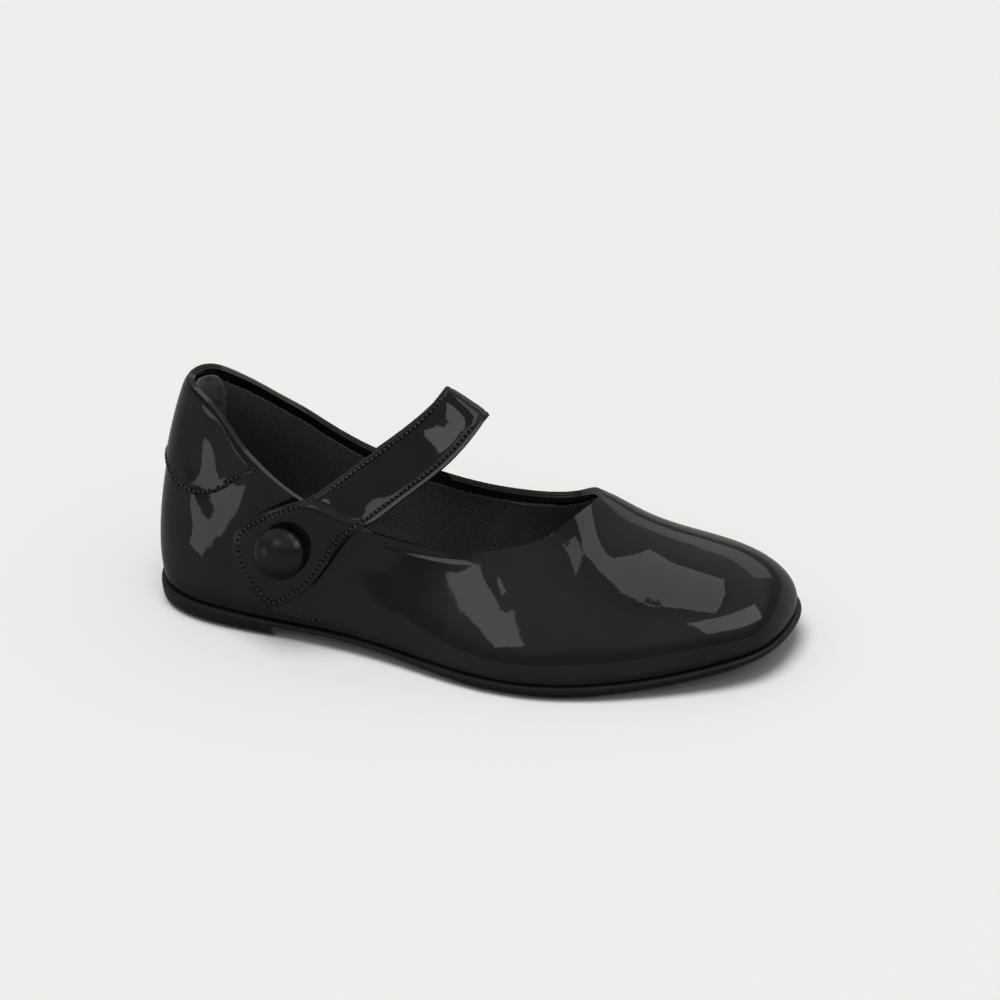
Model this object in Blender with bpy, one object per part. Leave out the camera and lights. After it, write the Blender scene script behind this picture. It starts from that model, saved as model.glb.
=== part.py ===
"""Bar-strap ballet flat, right shoe: upper, heel panel, outsole, insole, strap and button.

Metres, +X to the toe, +Y to the medial side, +Z up.  The tables below are in
fractions of the shoe's length (u, from the back of the heel) and millimetres.
"""
import math

import bmesh
import bpy
import numpy as np

for leftover in list(bpy.data.objects):
    bpy.data.objects.remove(leftover, do_unlink=True)

MM = 0.001
LENGTH = 170.0            # feather line, heel back to toe tip
THROAT = 0.70             # u behind which the upper may open
SPINE = 0.17              # u of the upright line the heel columns fan round

# ---- the last -----------------------------------------------------------------
# u, sideways shift of the centre line (share of length): the toe swings medially
CENTRE = (
    (0, 0), (.15, 0), (.3, 0), (.45, .004), (.6, .015), (.75, .033), (.9, .058), (1, .074))
# u, half width of the feather line on the lateral and the medial side (shares of length)
HALF_WIDTH = (
    (0, 0, 0), (.02, .096, .092), (.05, .126, .122), (.09, .143, .138), (.14, .151, .144),
    (.21, .154, .138), (.3, .156, .124), (.39, .167, .115), (.476, .189, .116), (.56, .212, .127),
    (.64, .222, .141), (.71, .217, .152), (.78, .201, .156), (.85, .178, .147), (.912, .151, .124),
    (.955, .124, .098), (.98, .095, .072), (1, 0, 0))
# u, height of the feather line (top of the sole)
FEATHER = (
    (0, 6.2), (.12, 5.8), (.24, 5.3), (.35, 4.9), (.45, 4.4), (.55, 4.1), (.65, 4.1), (.74, 4.5),
    (.83, 5.6), (.92, 7.6), (1, 9.5))
# u, underside of the sole ahead of the heel breast; below 0 the ground cuts it flat
UNDERSIDE = (
    (.22, 2.4), (.3, 2.4), (.4, 1.8), (.48, .8), (.55, .1), (.58, -.03), (.64, -.06), (.69, -.03),
    (.73, .2), (.78, .9), (.86, 2.3), (.93, 4.0), (1, 6.0))
# u, top of the last along its centre line (behind the throat it is only a guide)
CREST = (
    (0, 84.5), (.17, 84.5), (.3, 75.4), (.42, 62.6), (.55, 51.1), (.65, 43.9), (.7, 40.6), (.75, 35.4),
    (.85, 28.6), (.92, 24.8), (.97, 19.6), (1, 9.5))
# u, how full a section stays on its way up, how flat it arrives, how far it bellies out (mm)
SECTION = (
    (0, .90, .55, 5.2), (.1, .91, .53, 3.6), (.2, .90, .50, 2.6), (.4, .80, .42, 1.6),
    (.55, .74, .36, 1.4), (.7, .76, .36, 1.4), (.85, .84, .45, 1.5), (1, .90, .52, 1.6))
BELLY_OF_WIDTH = .18      # the belly is never more than this share of the half width,
BELLY_OF_RISE = .3        # nor than this share of the rise
SPINE_BLEND = .04         # u over which the heel columns' fan turns into straight ribs
# u, how far the wall closes in at the topline, lateral and medial (1 leaves it alone)
CLOSE_IN = ((0, .50, .50), (.06, .515, .52), (.10, .562, .574), (.15, .701, .72), (.22, .797, .869),
            (.3, .829, .99), (.4, .835, 1.12), (.5, .83, 1.13), (.6, .84, 1.05), (.7, .92, 1.0),
            (.8, 1, 1), (1, 1, 1))
# u, height at which the wall has closed in fully
CLOSED_BY = ((0, 61), (.05, 61), (.10, 56.8), (.15, 50.2), (.22, 42.4), (.3, 36.2), (.4, 32.4),
             (.5, 31.2), (.6, 32.8), (.7, 36), (.8, 33.5), (1, 28))
# u, height of the topline, lateral and medial
TOPLINE = (
    (0, 60.9, 60.9), (.04, 61.1, 61.1), (.06, 60.4, 60.2), (.08, 58.9, 58.4), (.1, 56.9, 56.2),
    (.12, 54.3, 53.6), (.15, 50.3, 49.5), (.18, 46.9, 46.2), (.22, 42.5, 41.9), (.26, 38.9, 38.4),
    (.3, 36.2, 35.8), (.35, 33.9, 33.7), (.4, 32.5, 32.2), (.45, 31.7, 31), (.5, 31.5, 30.4),
    (.55, 32.2, 30.6), (.6, 33.8, 31.8), (.65, 36.8, 35.3), (.7, 41.0, 40.6), (.76, 33.9, 33.9))

# ---- pieces --------------------------------------------------------------------
WALL = 2.0                # upper: patent outside, lining inside
PIECE_GAP = 0.3           # between pieces that follow each other's curve
# x from the heel, height of the heel panel's stitched lower edge
PANEL_EDGE = (
    (0, 38.5), (3, 37.1), (6, 35.5), (9, 34.5), (14, 34.3), (17.5, 35.3), (21, 37.3), (25, 40.6),
    (29, 43.7), (33, 46.1))
PANEL_THICK = 0.6
PANEL_REACH = 34.5        # x where the panel's edge runs out at the topline
SOLE_PROUD = 1.25         # how far the sole stands out past the feather line
BREAST = (37.6, 38.4)     # x of the heel breast, foot and head
# outset from the feather line, and height in mm over the sole's underside or from its top
SOLE_SIDE_HEIGHT = 3.4    # where the side is lower than this, its steps close up in proportion
SOLE_PROFILE = (
    (-4.0, "low", 0.0), (-1.4, "low", 0.0), (-.45, "low", .25), (SOLE_PROUD - .85, "low", .9),
    (SOLE_PROUD - .35, "low", 1.7), (SOLE_PROUD - .05, "high", -1.6), (SOLE_PROUD, "high", -.8),
    (SOLE_PROUD - .12, "high", -.25), (SOLE_PROUD - .6, "high", 0.0), (-1.0, "high", 0.0),
    (-3.0, "high", 0.0))
INSOLE_INSET = 2.7
INSOLE_THICK = 2.6
# outset from the insole's edge, height over the sole
INSOLE_PROFILE = (
    (-.4, 0.0), (0.0, .5), (0.0, INSOLE_THICK - .3), (-.6, INSOLE_THICK + .2),
    (-3.0, INSOLE_THICK - .4), (-6.5, INSOLE_THICK - .7))
STRAP_THICK = 2.6
# depth below the strap's outer face, how far the edge is drawn in there
STRAP_LAYERS = ((-STRAP_THICK, .35), (-STRAP_THICK + .45, 0.0), (-.5, 0.0), (0.0, .45))
STRAP_HOLD = 4.5          # over this height above the topline the strap lets go of the wall
STRAP_RISE = {-1: 1.5, 1: .35}   # how far the strap has left the wall by the topline
STRAP_RISE_REACH = 11.0          # height under the topline over which it does so
STRAP_SOFT = 4.8                 # run over which its bends are softened
BUTTON_AT = (40.6, 25.6)  # x, z on the lateral wall
BUTTON_RADIUS = 7.0
BUTTON_HEIGHT = 5.2
BUTTON_WAIST = 1.75       # height of the dome's widest ring over the paddle
BUTTON_LIFT = .35         # extra room under the button, because the paddle curves away

# Outer edges of the strap, paddle tip first.  side -1 or +1: the strap lies on that wall
# and y is taken from it; side 0: free in the air.  rear x y z, front x y z
STRAP = (
    (-1, 37.4, 0, 10.5, 39.8, 0, 10.5),
    (-1, 34.9, 0, 12.3, 43.2, 0, 12.4),
    (-1, 31.4, 0, 15.6, 47.0, 0, 15.0),
    (-1, 28.3, 0, 20.2, 50.0, 0, 18.2),
    (-1, 27.0, 0, 25.1, 52.4, 0, 22.0),
    (-1, 28.9, 0, 29.9, 54.6, 0, 25.8),
    (-1, 34.4, 0, 34.2, 57.1, 0, 29.7),
    (0, 45.8, -25.0, 41.3, 62.0, -25.5, 35.9),
    (0, 52.6, -14.0, 44.7, 66.6, -16.9, 38.4),
    (0, 58.6, -3.4, 47.9, 71.4, -9.0, 41.3),
    (0, 65.0, 5.6, 51.8, 76.8, -1.2, 44.8),
    (0, 69.8, 12.7, 56.2, 81.8, 7.5, 49.9),
    (0, 72.3, 18.4, 60.6, 85.1, 15.2, 55.0),
    (0, 70.9, 22.3, 57.0, 83.9, 21.0, 52.0),
    (0, 65.6, 22.6, 49.6, 78.6, 22.3, 44.9),
    (0, 57.2, 22.2, 41.0, 71.0, 22.6, 36.8),
    (1, 48.6, 0, 32.2, 62.8, 0, 28.0),
    (1, 39.4, 0, 23.6, 53.8, 0, 19.0),
    (1, 30.6, 0, 14.0, 45.2, 0, 11.0),
    (1, 24.0, 0, 7.2, 39.2, 0, 6.8),
)


# ---- curves ---------------------------------------------------------------------
def spline(rows, at, column=1):
    """Natural cubic spline through the table's rows, read at one or many places."""
    x = np.array([r[0] for r in rows], float)
    y = np.array([r[column] for r in rows], float)
    n = len(x)
    h = np.diff(x)
    a = np.eye(n)
    b = np.zeros(n)
    for i in range(1, n - 1):
        a[i, i - 1:i + 2] = h[i - 1], 2 * (h[i - 1] + h[i]), h[i]
        b[i] = 6 * ((y[i + 1] - y[i]) / h[i] - (y[i] - y[i - 1]) / h[i - 1])
    m = np.linalg.solve(a, b)
    at = np.clip(np.asarray(at, float), x[0], x[-1])
    k = np.clip(np.searchsorted(x, at) - 1, 0, n - 2)
    p = x[k + 1] - at
    q = at - x[k]
    return ((m[k] * p ** 3 + m[k + 1] * q ** 3) / (6 * h[k]) + (y[k] / h[k] - m[k] * h[k] / 6) * p
            + (y[k + 1] / h[k] - m[k + 1] * h[k] / 6) * q)


def turned(rows, column=1):
    """The same table against the turn angle, so both ends of the shoe come in round."""
    return [(math.acos(1 - 2 * r[0]), r[column]) for r in rows]


def turn(u):
    return np.arccos(1 - 2 * np.clip(u, 0, 1))


HALF = {-1: turned(HALF_WIDTH, 1), 1: turned(HALF_WIDTH, 2)}
CREST_TURNED = turned(CREST)


def column_of(side):
    return 1 if side < 0 else 2


def eased(s):
    s = min(max(s, 0.0), 1.0)
    return s * s * (3 - 2 * s)


# ---- the upper's own surface ------------------------------------------------------
def feather_point(t, side):
    u = (1 - math.cos(t)) / 2
    y = float(spline(CENTRE, u)) + side * float(spline(HALF[side], t))
    return np.array([u * LENGTH, y * LENGTH, float(spline(FEATHER, u))])


def raw_column(t, side, steps):
    """One rib of the last from the feather line up to its crest."""
    foot = feather_point(t, side)
    u = foot[0] / LENGTH
    back = u - SPINE
    head_u = SPINE + .5 * (back + math.hypot(back, SPINE_BLEND))
    head_u -= .5 * (math.hypot(1 - SPINE, SPINE_BLEND) - (1 - SPINE)) * max(back, 0) / (1 - SPINE)
    head = np.array([head_u, float(spline(CENTRE, head_u))]) * LENGTH
    out = foot[:2] - head
    width = math.hypot(*out)
    out = out / width if width > 1e-6 else np.array([1.0, 0.0])
    low = foot[2]
    high = float(spline(CREST_TURNED, turn(head_u)))
    rise = high - low
    full = float(spline(SECTION, u, 1))
    flat = float(spline(SECTION, u, 2))
    belly = min(float(spline(SECTION, u, 3)), BELLY_OF_WIDTH * width, BELLY_OF_RISE * rise)
    hull = np.array([
        (width, low), (width + belly, low + .24 * rise),
        (width * full + .15 * belly, low + .86 * full * rise), (width * flat, high), (0, high)])
    s = np.linspace(0, 1, steps)
    weight = np.array([(1 - s) ** 4, 4 * s * (1 - s) ** 3, 6 * s ** 2 * (1 - s) ** 2,
                       4 * s ** 3 * (1 - s), s ** 4])
    rib = weight.T @ hull
    return np.column_stack([head[0] + out[0] * rib[:, 0], head[1] + out[1] * rib[:, 0], rib[:, 1]])


def close_in(rib, side):
    """Draw the wall in toward the centre line as it climbs to the topline."""
    x, y, z = rib.T
    u = np.clip(x / LENGTH, 0, 1)
    centre = spline(CENTRE, u) * LENGTH
    top = spline(CLOSED_BY, u)
    low = spline(FEATHER, u)
    s = np.clip((z - low) / (top - low), 0, 1)
    ease = s * s * (3 - 2 * s)
    keep = 1 - (1 - spline(CLOSE_IN, u, column_of(side))) * ease
    return np.column_stack([x, centre + (y - centre) * keep, z])


def rib_to_topline(t, side, steps=240):
    rib = close_in(raw_column(t, side, steps), side)
    u = rib[:, 0] / LENGTH
    top = spline(TOPLINE, u, column_of(side))
    over = (rib[:, 2] >= top) & (u < THROAT)
    if over.any():
        k = int(np.argmax(over))
        before = top[k - 1] - rib[k - 1, 2]
        after = rib[k, 2] - top[k]
        cut = rib[k - 1] + (rib[k] - rib[k - 1]) * before / (before + after)
        rib = np.vstack([rib[:k], cut])
    return rib


def resample(line, places):
    run = np.r_[0, np.cumsum(np.linalg.norm(np.diff(line, axis=0), axis=1))]
    at = np.asarray(places) * run[-1]
    return np.column_stack([np.interp(at, run, line[:, i]) for i in range(3)])


def throat_turn():
    """Turn angle where the topline meets the crest."""
    low, high = turn(.60), turn(.72)
    for _ in range(50):
        mid = (low + high) / 2
        u = (1 - math.cos(mid)) / 2
        if float(spline(CREST_TURNED, mid)) > float(spline(TOPLINE, u)):
            low = mid
        else:
            high = mid
    return (low + high) / 2


def column_turns(quarter, vamp):
    """Turn angles of the columns, closer together on the way into the throat."""
    stop = throat_turn()
    s = np.linspace(0, 1, quarter + 1)
    behind = stop * (1 - (1 - s) ** 1.45)
    ahead = np.linspace(stop, math.pi, vamp + 1)[1:]
    return np.r_[behind, ahead]


def wall_grid(side, turns, rows):
    return np.array([resample(rib_to_topline(t, side), np.linspace(0, 1, rows + 1)) for t in turns])


GRID_TURNS = np.linspace(0.0, turn(.75), 150)
WALL_CACHE = {}


def wall_at(x, z, side):
    """Point and outward normal of the outer wall at a given x and height."""
    if side not in WALL_CACHE:
        WALL_CACHE[side] = [close_in(raw_column(t, side, 200), side) for t in GRID_TURNS]
    ribs = WALL_CACHE[side]

    def place(x0, z0):
        xs = np.array([np.interp(z0, r[:, 2], r[:, 0]) for r in ribs])
        ys = np.array([np.interp(z0, r[:, 2], r[:, 1]) for r in ribs])
        return float(np.interp(x0, xs, ys))

    y = place(x, z)
    step = 1.0
    slope_x = (place(x + step, z) - place(x - step, z)) / (2 * step)
    slope_z = (place(x, z + step) - place(x, z - step)) / (2 * step)
    normal = np.array([-slope_x, 1.0, -slope_z]) * side
    return np.array([x, y, z]), normal / np.linalg.norm(normal)


# ---- mesh helpers -----------------------------------------------------------------
def mesh_object(name, verts, faces, finish, sharp=None):
    mesh = bpy.data.meshes.new(name)
    mesh.from_pydata([tuple(float(c) * MM for c in v) for v in verts], [], [tuple(f) for f in faces])
    mesh.validate()
    bm = bmesh.new()
    bm.from_mesh(mesh)
    bmesh.ops.remove_doubles(bm, verts=bm.verts, dist=2e-6)
    bmesh.ops.dissolve_degenerate(bm, edges=bm.edges, dist=1e-6)
    bmesh.ops.recalc_face_normals(bm, faces=bm.faces)
    if bm.calc_volume(signed=True) < 0:
        bmesh.ops.reverse_faces(bm, faces=bm.faces)
    for face in bm.faces:
        face.smooth = True
    bm.to_mesh(mesh)
    bm.free()
    if sharp:
        mesh.set_sharp_from_angle(angle=math.radians(sharp))
    obj = bpy.data.objects.new(name, mesh)
    bpy.context.scene.collection.objects.link(obj)
    obj.data.materials.append(finish)
    return obj


def thickened(sheet, thickness, keep_height=False):
    """Closed shell from an open sheet: its points, faces and the inner skin behind them."""
    verts, faces = sheet
    bm = bmesh.new()
    made = [bm.verts.new(v) for v in verts]
    for f in faces:
        if len({tuple(np.round(verts[i], 6)) for i in f}) >= 3:
            bm.faces.new([made[i] for i in f])
    bmesh.ops.remove_doubles(bm, verts=bm.verts, dist=1e-3)
    bmesh.ops.dissolve_degenerate(bm, edges=bm.edges, dist=1e-4)
    bmesh.ops.recalc_face_normals(bm, faces=bm.faces)
    bm.verts.index_update()
    bm.normal_update()
    outer = [np.array(v.co) for v in bm.verts]
    normals = [np.array(v.normal) for v in bm.verts]
    centre = np.mean(outer, axis=0)
    facing = sum(float((p - centre) @ n) for p, n in zip(outer, normals))
    sign = 1.0 if facing > 0 else -1.0
    inner = []
    for v, p, n in zip(bm.verts, outer, normals):
        q = p - n * sign * thickness
        if keep_height and v.is_boundary and p[2] < 12.0:
            flat = np.array([n[0], n[1], 0.0])
            q = p - flat / np.linalg.norm(flat) * sign * thickness
        inner.append(q)
    count = len(outer)
    solid = [[v.index for v in f.verts] for f in bm.faces]
    solid += [[v.index + count for v in reversed(f.verts)] for f in bm.faces]
    for e in bm.edges:
        if e.is_boundary:
            loop = e.link_loops[0]
            a, b = loop.vert.index, loop.link_loop_next.vert.index
            solid.append([b, a, a + count, b + count])
    bm.free()
    return outer + inner, solid


def grid_faces(rows, columns, first=0):
    faces = []
    for i in range(rows - 1):
        for j in range(columns - 1):
            a = first + i * columns + j
            faces.append((a, a + 1, a + columns + 1, a + columns))
    return faces


def stacked_rings(levels):
    """Closed solid from rings of one size, lateral half first, capped straight across."""
    verts = []
    for lateral, medial in levels:
        verts += list(lateral) + list(medial[::-1])
    half = len(levels[0][0])
    size = 2 * half
    faces = []
    for k in range(len(levels) - 1):
        for i in range(size):
            j = (i + 1) % size
            faces.append((k * size + i, k * size + j, (k + 1) * size + j, (k + 1) * size + i))
    for k in (0, len(levels) - 1):
        for i in range(half - 1):
            a = k * size + i
            faces.append((a, a + 1, k * size + size - 2 - i, k * size + size - 1 - i))
    return verts, faces


def material(name, colour, roughness, coat=0.0):
    made = bpy.data.materials.new(name)
    made.use_nodes = True
    shader = made.node_tree.nodes["Principled BSDF"]
    shader.inputs["Base Color"].default_value = (*colour, 1.0)
    shader.inputs["Roughness"].default_value = roughness
    shader.inputs["Coat Weight"].default_value = coat
    return made


PATENT = material("patent_leather", (0.018, 0.018, 0.019), 0.30, 0.8)
SOLE_RUBBER = material("sole_rubber", (0.012, 0.012, 0.012), 0.50)
FOOTBED = material("footbed_cloth", (0.020, 0.020, 0.022), 0.85)
GLOSS_BUTTON = material("button_plastic", (0.016, 0.016, 0.017), 0.12, 0.6)


# ---- sub-parts ----------------------------------------------------------------------
def build_upper():
    """One hollow wall, open at the collar and underneath."""
    quarter, vamp, rows = 30, 20, 10
    turns = column_turns(quarter, vamp)
    lateral = wall_grid(-1, turns, rows)
    medial = wall_grid(1, turns, rows)
    medial[0] = lateral[0]
    medial[quarter:, -1] = lateral[quarter:, -1]
    verts = list(lateral.reshape(-1, 3)) + list(medial.reshape(-1, 3))
    faces = grid_faces(len(turns), rows + 1) + grid_faces(len(turns), rows + 1, lateral.size // 3)
    solid = thickened((verts, faces), WALL, keep_height=True)
    return mesh_object("upper", *solid, PATENT, sharp=50)


def build_heel_panel():
    """Collar panel over the back of the upper, stitched along its dipping lower edge."""
    turns = np.linspace(0, 1, 22) ** 1.1 * turn(.235)
    rows = 5
    verts = []
    faces = []
    for side in (-1, 1):
        ribs = []
        for t in turns:
            rib = rib_to_topline(t, side)
            edge = spline(PANEL_EDGE, rib[:, 0])
            above = rib[rib[:, 2] >= edge]
            if len(above) < 8 or rib[-1, 0] > PANEL_REACH:
                break
            ribs.append(resample(above[:-3], np.linspace(0, 1, rows + 1)))
        first = len(verts)
        if side > 0:
            ribs[0] = verts[:rows + 1]
        verts += list(np.array(ribs).reshape(-1, 3))
        faces += grid_faces(len(ribs), rows + 1, first)
    lifted = thickened((verts, faces), -(PIECE_GAP + PANEL_THICK))
    count = len(lifted[0]) // 2
    points = list(lifted[0])
    for i in range(count):
        away = points[i + count] - points[i]
        away = away / np.linalg.norm(away)
        points[i] = points[i] + away * PIECE_GAP
    return mesh_object("heel_panel", points, lifted[1], PATENT, sharp=40)


def sole_underside(x):
    if x <= BREAST[0] + 1e-6:
        return 0.0
    return max(0.0, float(spline(UNDERSIDE, x / LENGTH)))


def outline_ring(turns, outset):
    """Closed ring round the feather line, pushed out in plan; lateral side first."""
    ring = []
    for side in (-1, 1):
        part = np.array([feather_point(t, side) for t in turns])
        slope = np.gradient(part[:, :2], axis=0)
        slope[0] = (0.0, side)
        slope[-1] = (0.0, -side)
        slope /= np.linalg.norm(slope, axis=1)[:, None]
        away = np.column_stack([slope[:, 1], -slope[:, 0]]) * -side
        part[:, :2] += away * outset
        ring.append(part)
    return ring


def sole_turns():
    u = np.r_[(1 - np.cos(np.linspace(0, math.pi, 52))) / 2]
    u = u[(np.abs(u * LENGTH - BREAST[0]) > 1.6)]
    u = np.sort(np.r_[u, BREAST[0] / LENGTH, BREAST[1] / LENGTH])
    return turn(u)


def build_outsole():
    """Moulded unit: low heel block, breast, arch, toe spring and a lip under the upper."""
    turns = sole_turns()
    levels = []
    for outset, base, lift in SOLE_PROFILE:
        sides = outline_ring(turns, outset)
        for part in sides:
            for p, t in zip(part, turns):
                low = sole_underside((1 - math.cos(t)) / 2 * LENGTH)
                high = p[2] - PIECE_GAP
                share = (high - low) * lift / SOLE_SIDE_HEIGHT
                p[2] = min(low + lift, low + share) if base == "low" else max(high + lift, high + share)
        levels.append(sides)
    verts, faces = stacked_rings(levels)
    return mesh_object("outsole", verts, faces, SOLE_RUBBER, sharp=35)


def build_insole():
    """Thin footbed inside the upper, raised a little round its edge."""
    turns = turn((1 - np.cos(np.linspace(0, math.pi, 44))) / 2)
    levels = []
    for outset, lift in INSOLE_PROFILE:
        sides = outline_ring(turns, outset - INSOLE_INSET)
        for part in sides:
            part[:, 2] += lift
        levels.append(sides)
    verts, faces = stacked_rings(levels)
    return mesh_object("insole", verts, faces, FOOTBED, sharp=40)


def strap_edges(steps):
    """Rear and front edge of the strap's outer face as two fine lines."""
    stations = []
    for side, rx, ry, rz, fx, fy, fz in STRAP:
        pair = []
        for x, y, z in ((rx, ry, rz), (fx, fy, fz)):
            if side:
                at, normal = wall_at(x, z, side)
                pair.append(at + normal * (PIECE_GAP + STRAP_THICK))
            else:
                pair.append(np.array([x, y, z]))
        stations.append(np.r_[pair[0], pair[1]])
    stations = np.array(stations)
    middle = (stations[:, :3] + stations[:, 3:]) / 2
    run = np.r_[0, np.cumsum(np.linalg.norm(np.diff(middle, axis=0), axis=1))]
    places = np.linspace(0, run[-1], steps)
    table = [tuple([r]) + tuple(row) for r, row in zip(run, stations)]
    lines = np.column_stack([spline(table, places, k + 1) for k in range(6)])
    return lines[:, :3], lines[:, 3:]


def strap_sheet(steps, across):
    """Outer face of the strap: it follows the wall up to the topline and arches softly over it."""
    fine = 4
    rear, front = strap_edges((steps - 1) * fine + 1)
    sheet = np.zeros((len(rear), across, 3))
    freed = np.zeros((len(rear), across))
    for i in range(len(rear)):
        for j in range(across):
            s = j / (across - 1)
            p = rear[i] * (1 - s) + front[i] * s
            side = -1 if p[1] < 0 else 1
            below = float(spline(TOPLINE, p[0] / LENGTH, column_of(side))) - p[2]
            hold = eased(below / STRAP_HOLD + 1)
            freed[i, j] = eased(1 - below / STRAP_RISE_REACH)
            if hold > 0 and abs(p[1]) > 8:
                at, normal = wall_at(p[0], p[2], side)
                over = PIECE_GAP + STRAP_THICK + STRAP_RISE[side] * freed[i, j]
                p = p * (1 - hold) + (at + normal * over) * hold
            sheet[i, j] = p
    # each pass averages a point with its neighbours along the run, where the strap is free
    span = np.linalg.norm(np.diff(sheet[:, across // 2], axis=0), axis=1).mean()
    share = np.clip(freed.mean(axis=1) * 1.7, 0, 1)[1:-1, None, None]
    for _ in range(int(round(2 * (STRAP_SOFT / span) ** 2))):
        mean = (sheet[:-2] + 2 * sheet[1:-1] + sheet[2:]) / 4
        sheet[1:-1] += (mean - sheet[1:-1]) * share
    return sheet[::fine]


def sheet_normals(sheet):
    along = np.gradient(sheet, axis=0)
    across = np.gradient(sheet, axis=1)
    normal = np.cross(across, along)
    normal /= np.maximum(np.linalg.norm(normal, axis=2), 1e-9)[:, :, None]
    return normal


def build_strap():
    """Closed two-layer bar with its paddle, lasted in on the medial side."""
    steps, across = 66, 7
    sheet = strap_sheet(steps, across)
    normal = sheet_normals(sheet)
    if normal[steps // 2, across // 2, 2] < 0:
        normal = -normal
    verts = []
    ring = []
    for lift, tuck in STRAP_LAYERS:
        layer = sheet + normal * lift
        edge = layer[:, -1] - layer[:, 0]
        edge /= np.maximum(np.linalg.norm(edge, axis=1), 1e-9)[:, None]
        layer[:, 0] += edge * tuck
        layer[:, -1] -= edge * tuck
        ring.append(len(verts))
        verts += list(layer.reshape(-1, 3))
    faces = grid_faces(steps, across, ring[0]) + grid_faces(steps, across, ring[-1])
    for low, high in zip(ring[:-1], ring[1:]):
        border = [i * across for i in range(steps)]
        border += [(steps - 1) * across + j for j in range(1, across)]
        border += [i * across + across - 1 for i in range(steps - 2, -1, -1)]
        border += [j for j in range(across - 2, 0, -1)]
        for a, b in zip(border, border[1:] + border[:1]):
            faces.append((low + a, low + b, high + b, high + a))
    return mesh_object("strap", verts, faces, PATENT, sharp=40)


def build_button():
    """Plain glossy dome on a low collar, standing on the paddle."""
    at, normal = wall_at(BUTTON_AT[0], BUTTON_AT[1], -1)
    seat = at + normal * (STRAP_THICK + 2 * PIECE_GAP + BUTTON_LIFT)
    side_axis = np.cross(normal, (0.0, 0.0, 1.0))
    side_axis /= np.linalg.norm(side_axis)
    up_axis = np.cross(side_axis, normal)
    r, h = BUTTON_RADIUS, BUTTON_HEIGHT
    profile = [(0.0, 0.0), (r * .80, 0.0), (r * .84, .3), (r * .86, 1.0), (r * .97, 1.25)]
    for k in range(0, 8):
        a = math.radians(-8 + k * 14)
        profile.append((r * math.cos(a), BUTTON_WAIST + (h - BUTTON_WAIST) * math.sin(a)))
    profile.append((0.0, h))
    spokes = 40
    verts = []
    for k in range(spokes):
        a = 2 * math.pi * k / spokes
        ray = side_axis * math.cos(a) + up_axis * math.sin(a)
        verts += [seat + ray * p[0] + normal * p[1] for p in profile]
    n = len(profile)
    faces = []
    for k in range(spokes):
        m = (k + 1) % spokes
        for i in range(n - 1):
            faces.append((k * n + i, k * n + i + 1, m * n + i + 1, m * n + i))
    return mesh_object("button", verts, faces, GLOSS_BUTTON, sharp=40)


def settle(objects):
    """Origin under the middle of the shoe, sole on the ground."""
    points = np.array([v.co for o in objects for v in o.data.vertices])
    low, high = points.min(axis=0), points.max(axis=0)
    move = np.array([-(low[0] + high[0]) / 2, -(low[1] + high[1]) / 2, -low[2]])
    for o in objects:
        for v in o.data.vertices:
            v.co = np.array(v.co) + move
        o.data.update()
    print("moved by", np.round(move * 1000, 4), "size", np.round((high - low) * 1000, 3))


def build_all():
    made = [
        build_outsole(), build_insole(), build_upper(), build_heel_panel(), build_strap(), build_button()]
    settle(made)
    for o in made:
        print(o.name, len(o.data.vertices), sum(len(p.vertices) - 2 for p in o.data.polygons))


build_all()
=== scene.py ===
import math
from contextlib import contextmanager

import bmesh
import bpy
import numpy as np
from mathutils import Matrix, Quaternion, Vector


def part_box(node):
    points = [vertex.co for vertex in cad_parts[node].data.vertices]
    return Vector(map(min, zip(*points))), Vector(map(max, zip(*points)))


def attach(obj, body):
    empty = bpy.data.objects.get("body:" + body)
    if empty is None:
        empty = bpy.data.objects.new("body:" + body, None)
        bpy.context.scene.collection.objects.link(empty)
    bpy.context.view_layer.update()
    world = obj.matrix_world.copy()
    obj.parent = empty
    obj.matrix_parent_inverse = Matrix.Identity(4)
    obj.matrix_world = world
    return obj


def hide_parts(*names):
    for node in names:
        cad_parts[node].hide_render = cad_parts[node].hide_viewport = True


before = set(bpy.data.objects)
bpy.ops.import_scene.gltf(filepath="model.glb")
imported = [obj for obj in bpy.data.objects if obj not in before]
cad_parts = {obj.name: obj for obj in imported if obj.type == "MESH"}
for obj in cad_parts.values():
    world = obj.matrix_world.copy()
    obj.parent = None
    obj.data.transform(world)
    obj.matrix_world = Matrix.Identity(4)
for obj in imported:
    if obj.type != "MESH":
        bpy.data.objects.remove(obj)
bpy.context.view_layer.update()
bpy.ops.object.select_all(action="DESELECT")
print("frame loaded:", ", ".join(sorted(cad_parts)))

mm = 0.001
dice = np.random.default_rng(7)

# Everything below is laid out in millimetres from the back of the heel, x to the toe,
# y to the medial side, z up; this carries it into the frame.
insoleInset, heelAside = 2.7, 0.586
heelInFrame = np.array([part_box("insole")[0].x / mm - insoleInset, heelAside, 0.0])


def camera():
    # a long lens a little over a metre away, above and slightly ahead of square on
    sizes = {"azimuth": 18.46, "elevation": 30.0, "distance": 1.100, "lens": 149.1,
             "target": (0.00013, 0.00059, 0.020), "shift": (0.0268, 0.0525)}
    a, e = math.radians(sizes["azimuth"]), math.radians(sizes["elevation"])
    back = Vector((math.sin(a) * math.cos(e), -math.cos(a) * math.cos(e), math.sin(e)))
    bpy.ops.object.camera_add(location=Vector(sizes["target"]) + back * sizes["distance"])
    seeing = bpy.context.object
    seeing.name = "studioCamera"
    seeing.rotation_euler = (-back).to_track_quat("-Z", "Y").to_euler()
    seeing.data.lens = sizes["lens"]
    seeing.data.sensor_width = 36.0
    seeing.data.shift_x, seeing.data.shift_y = sizes["shift"]
    bpy.context.scene.camera = seeing


camera()

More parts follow.
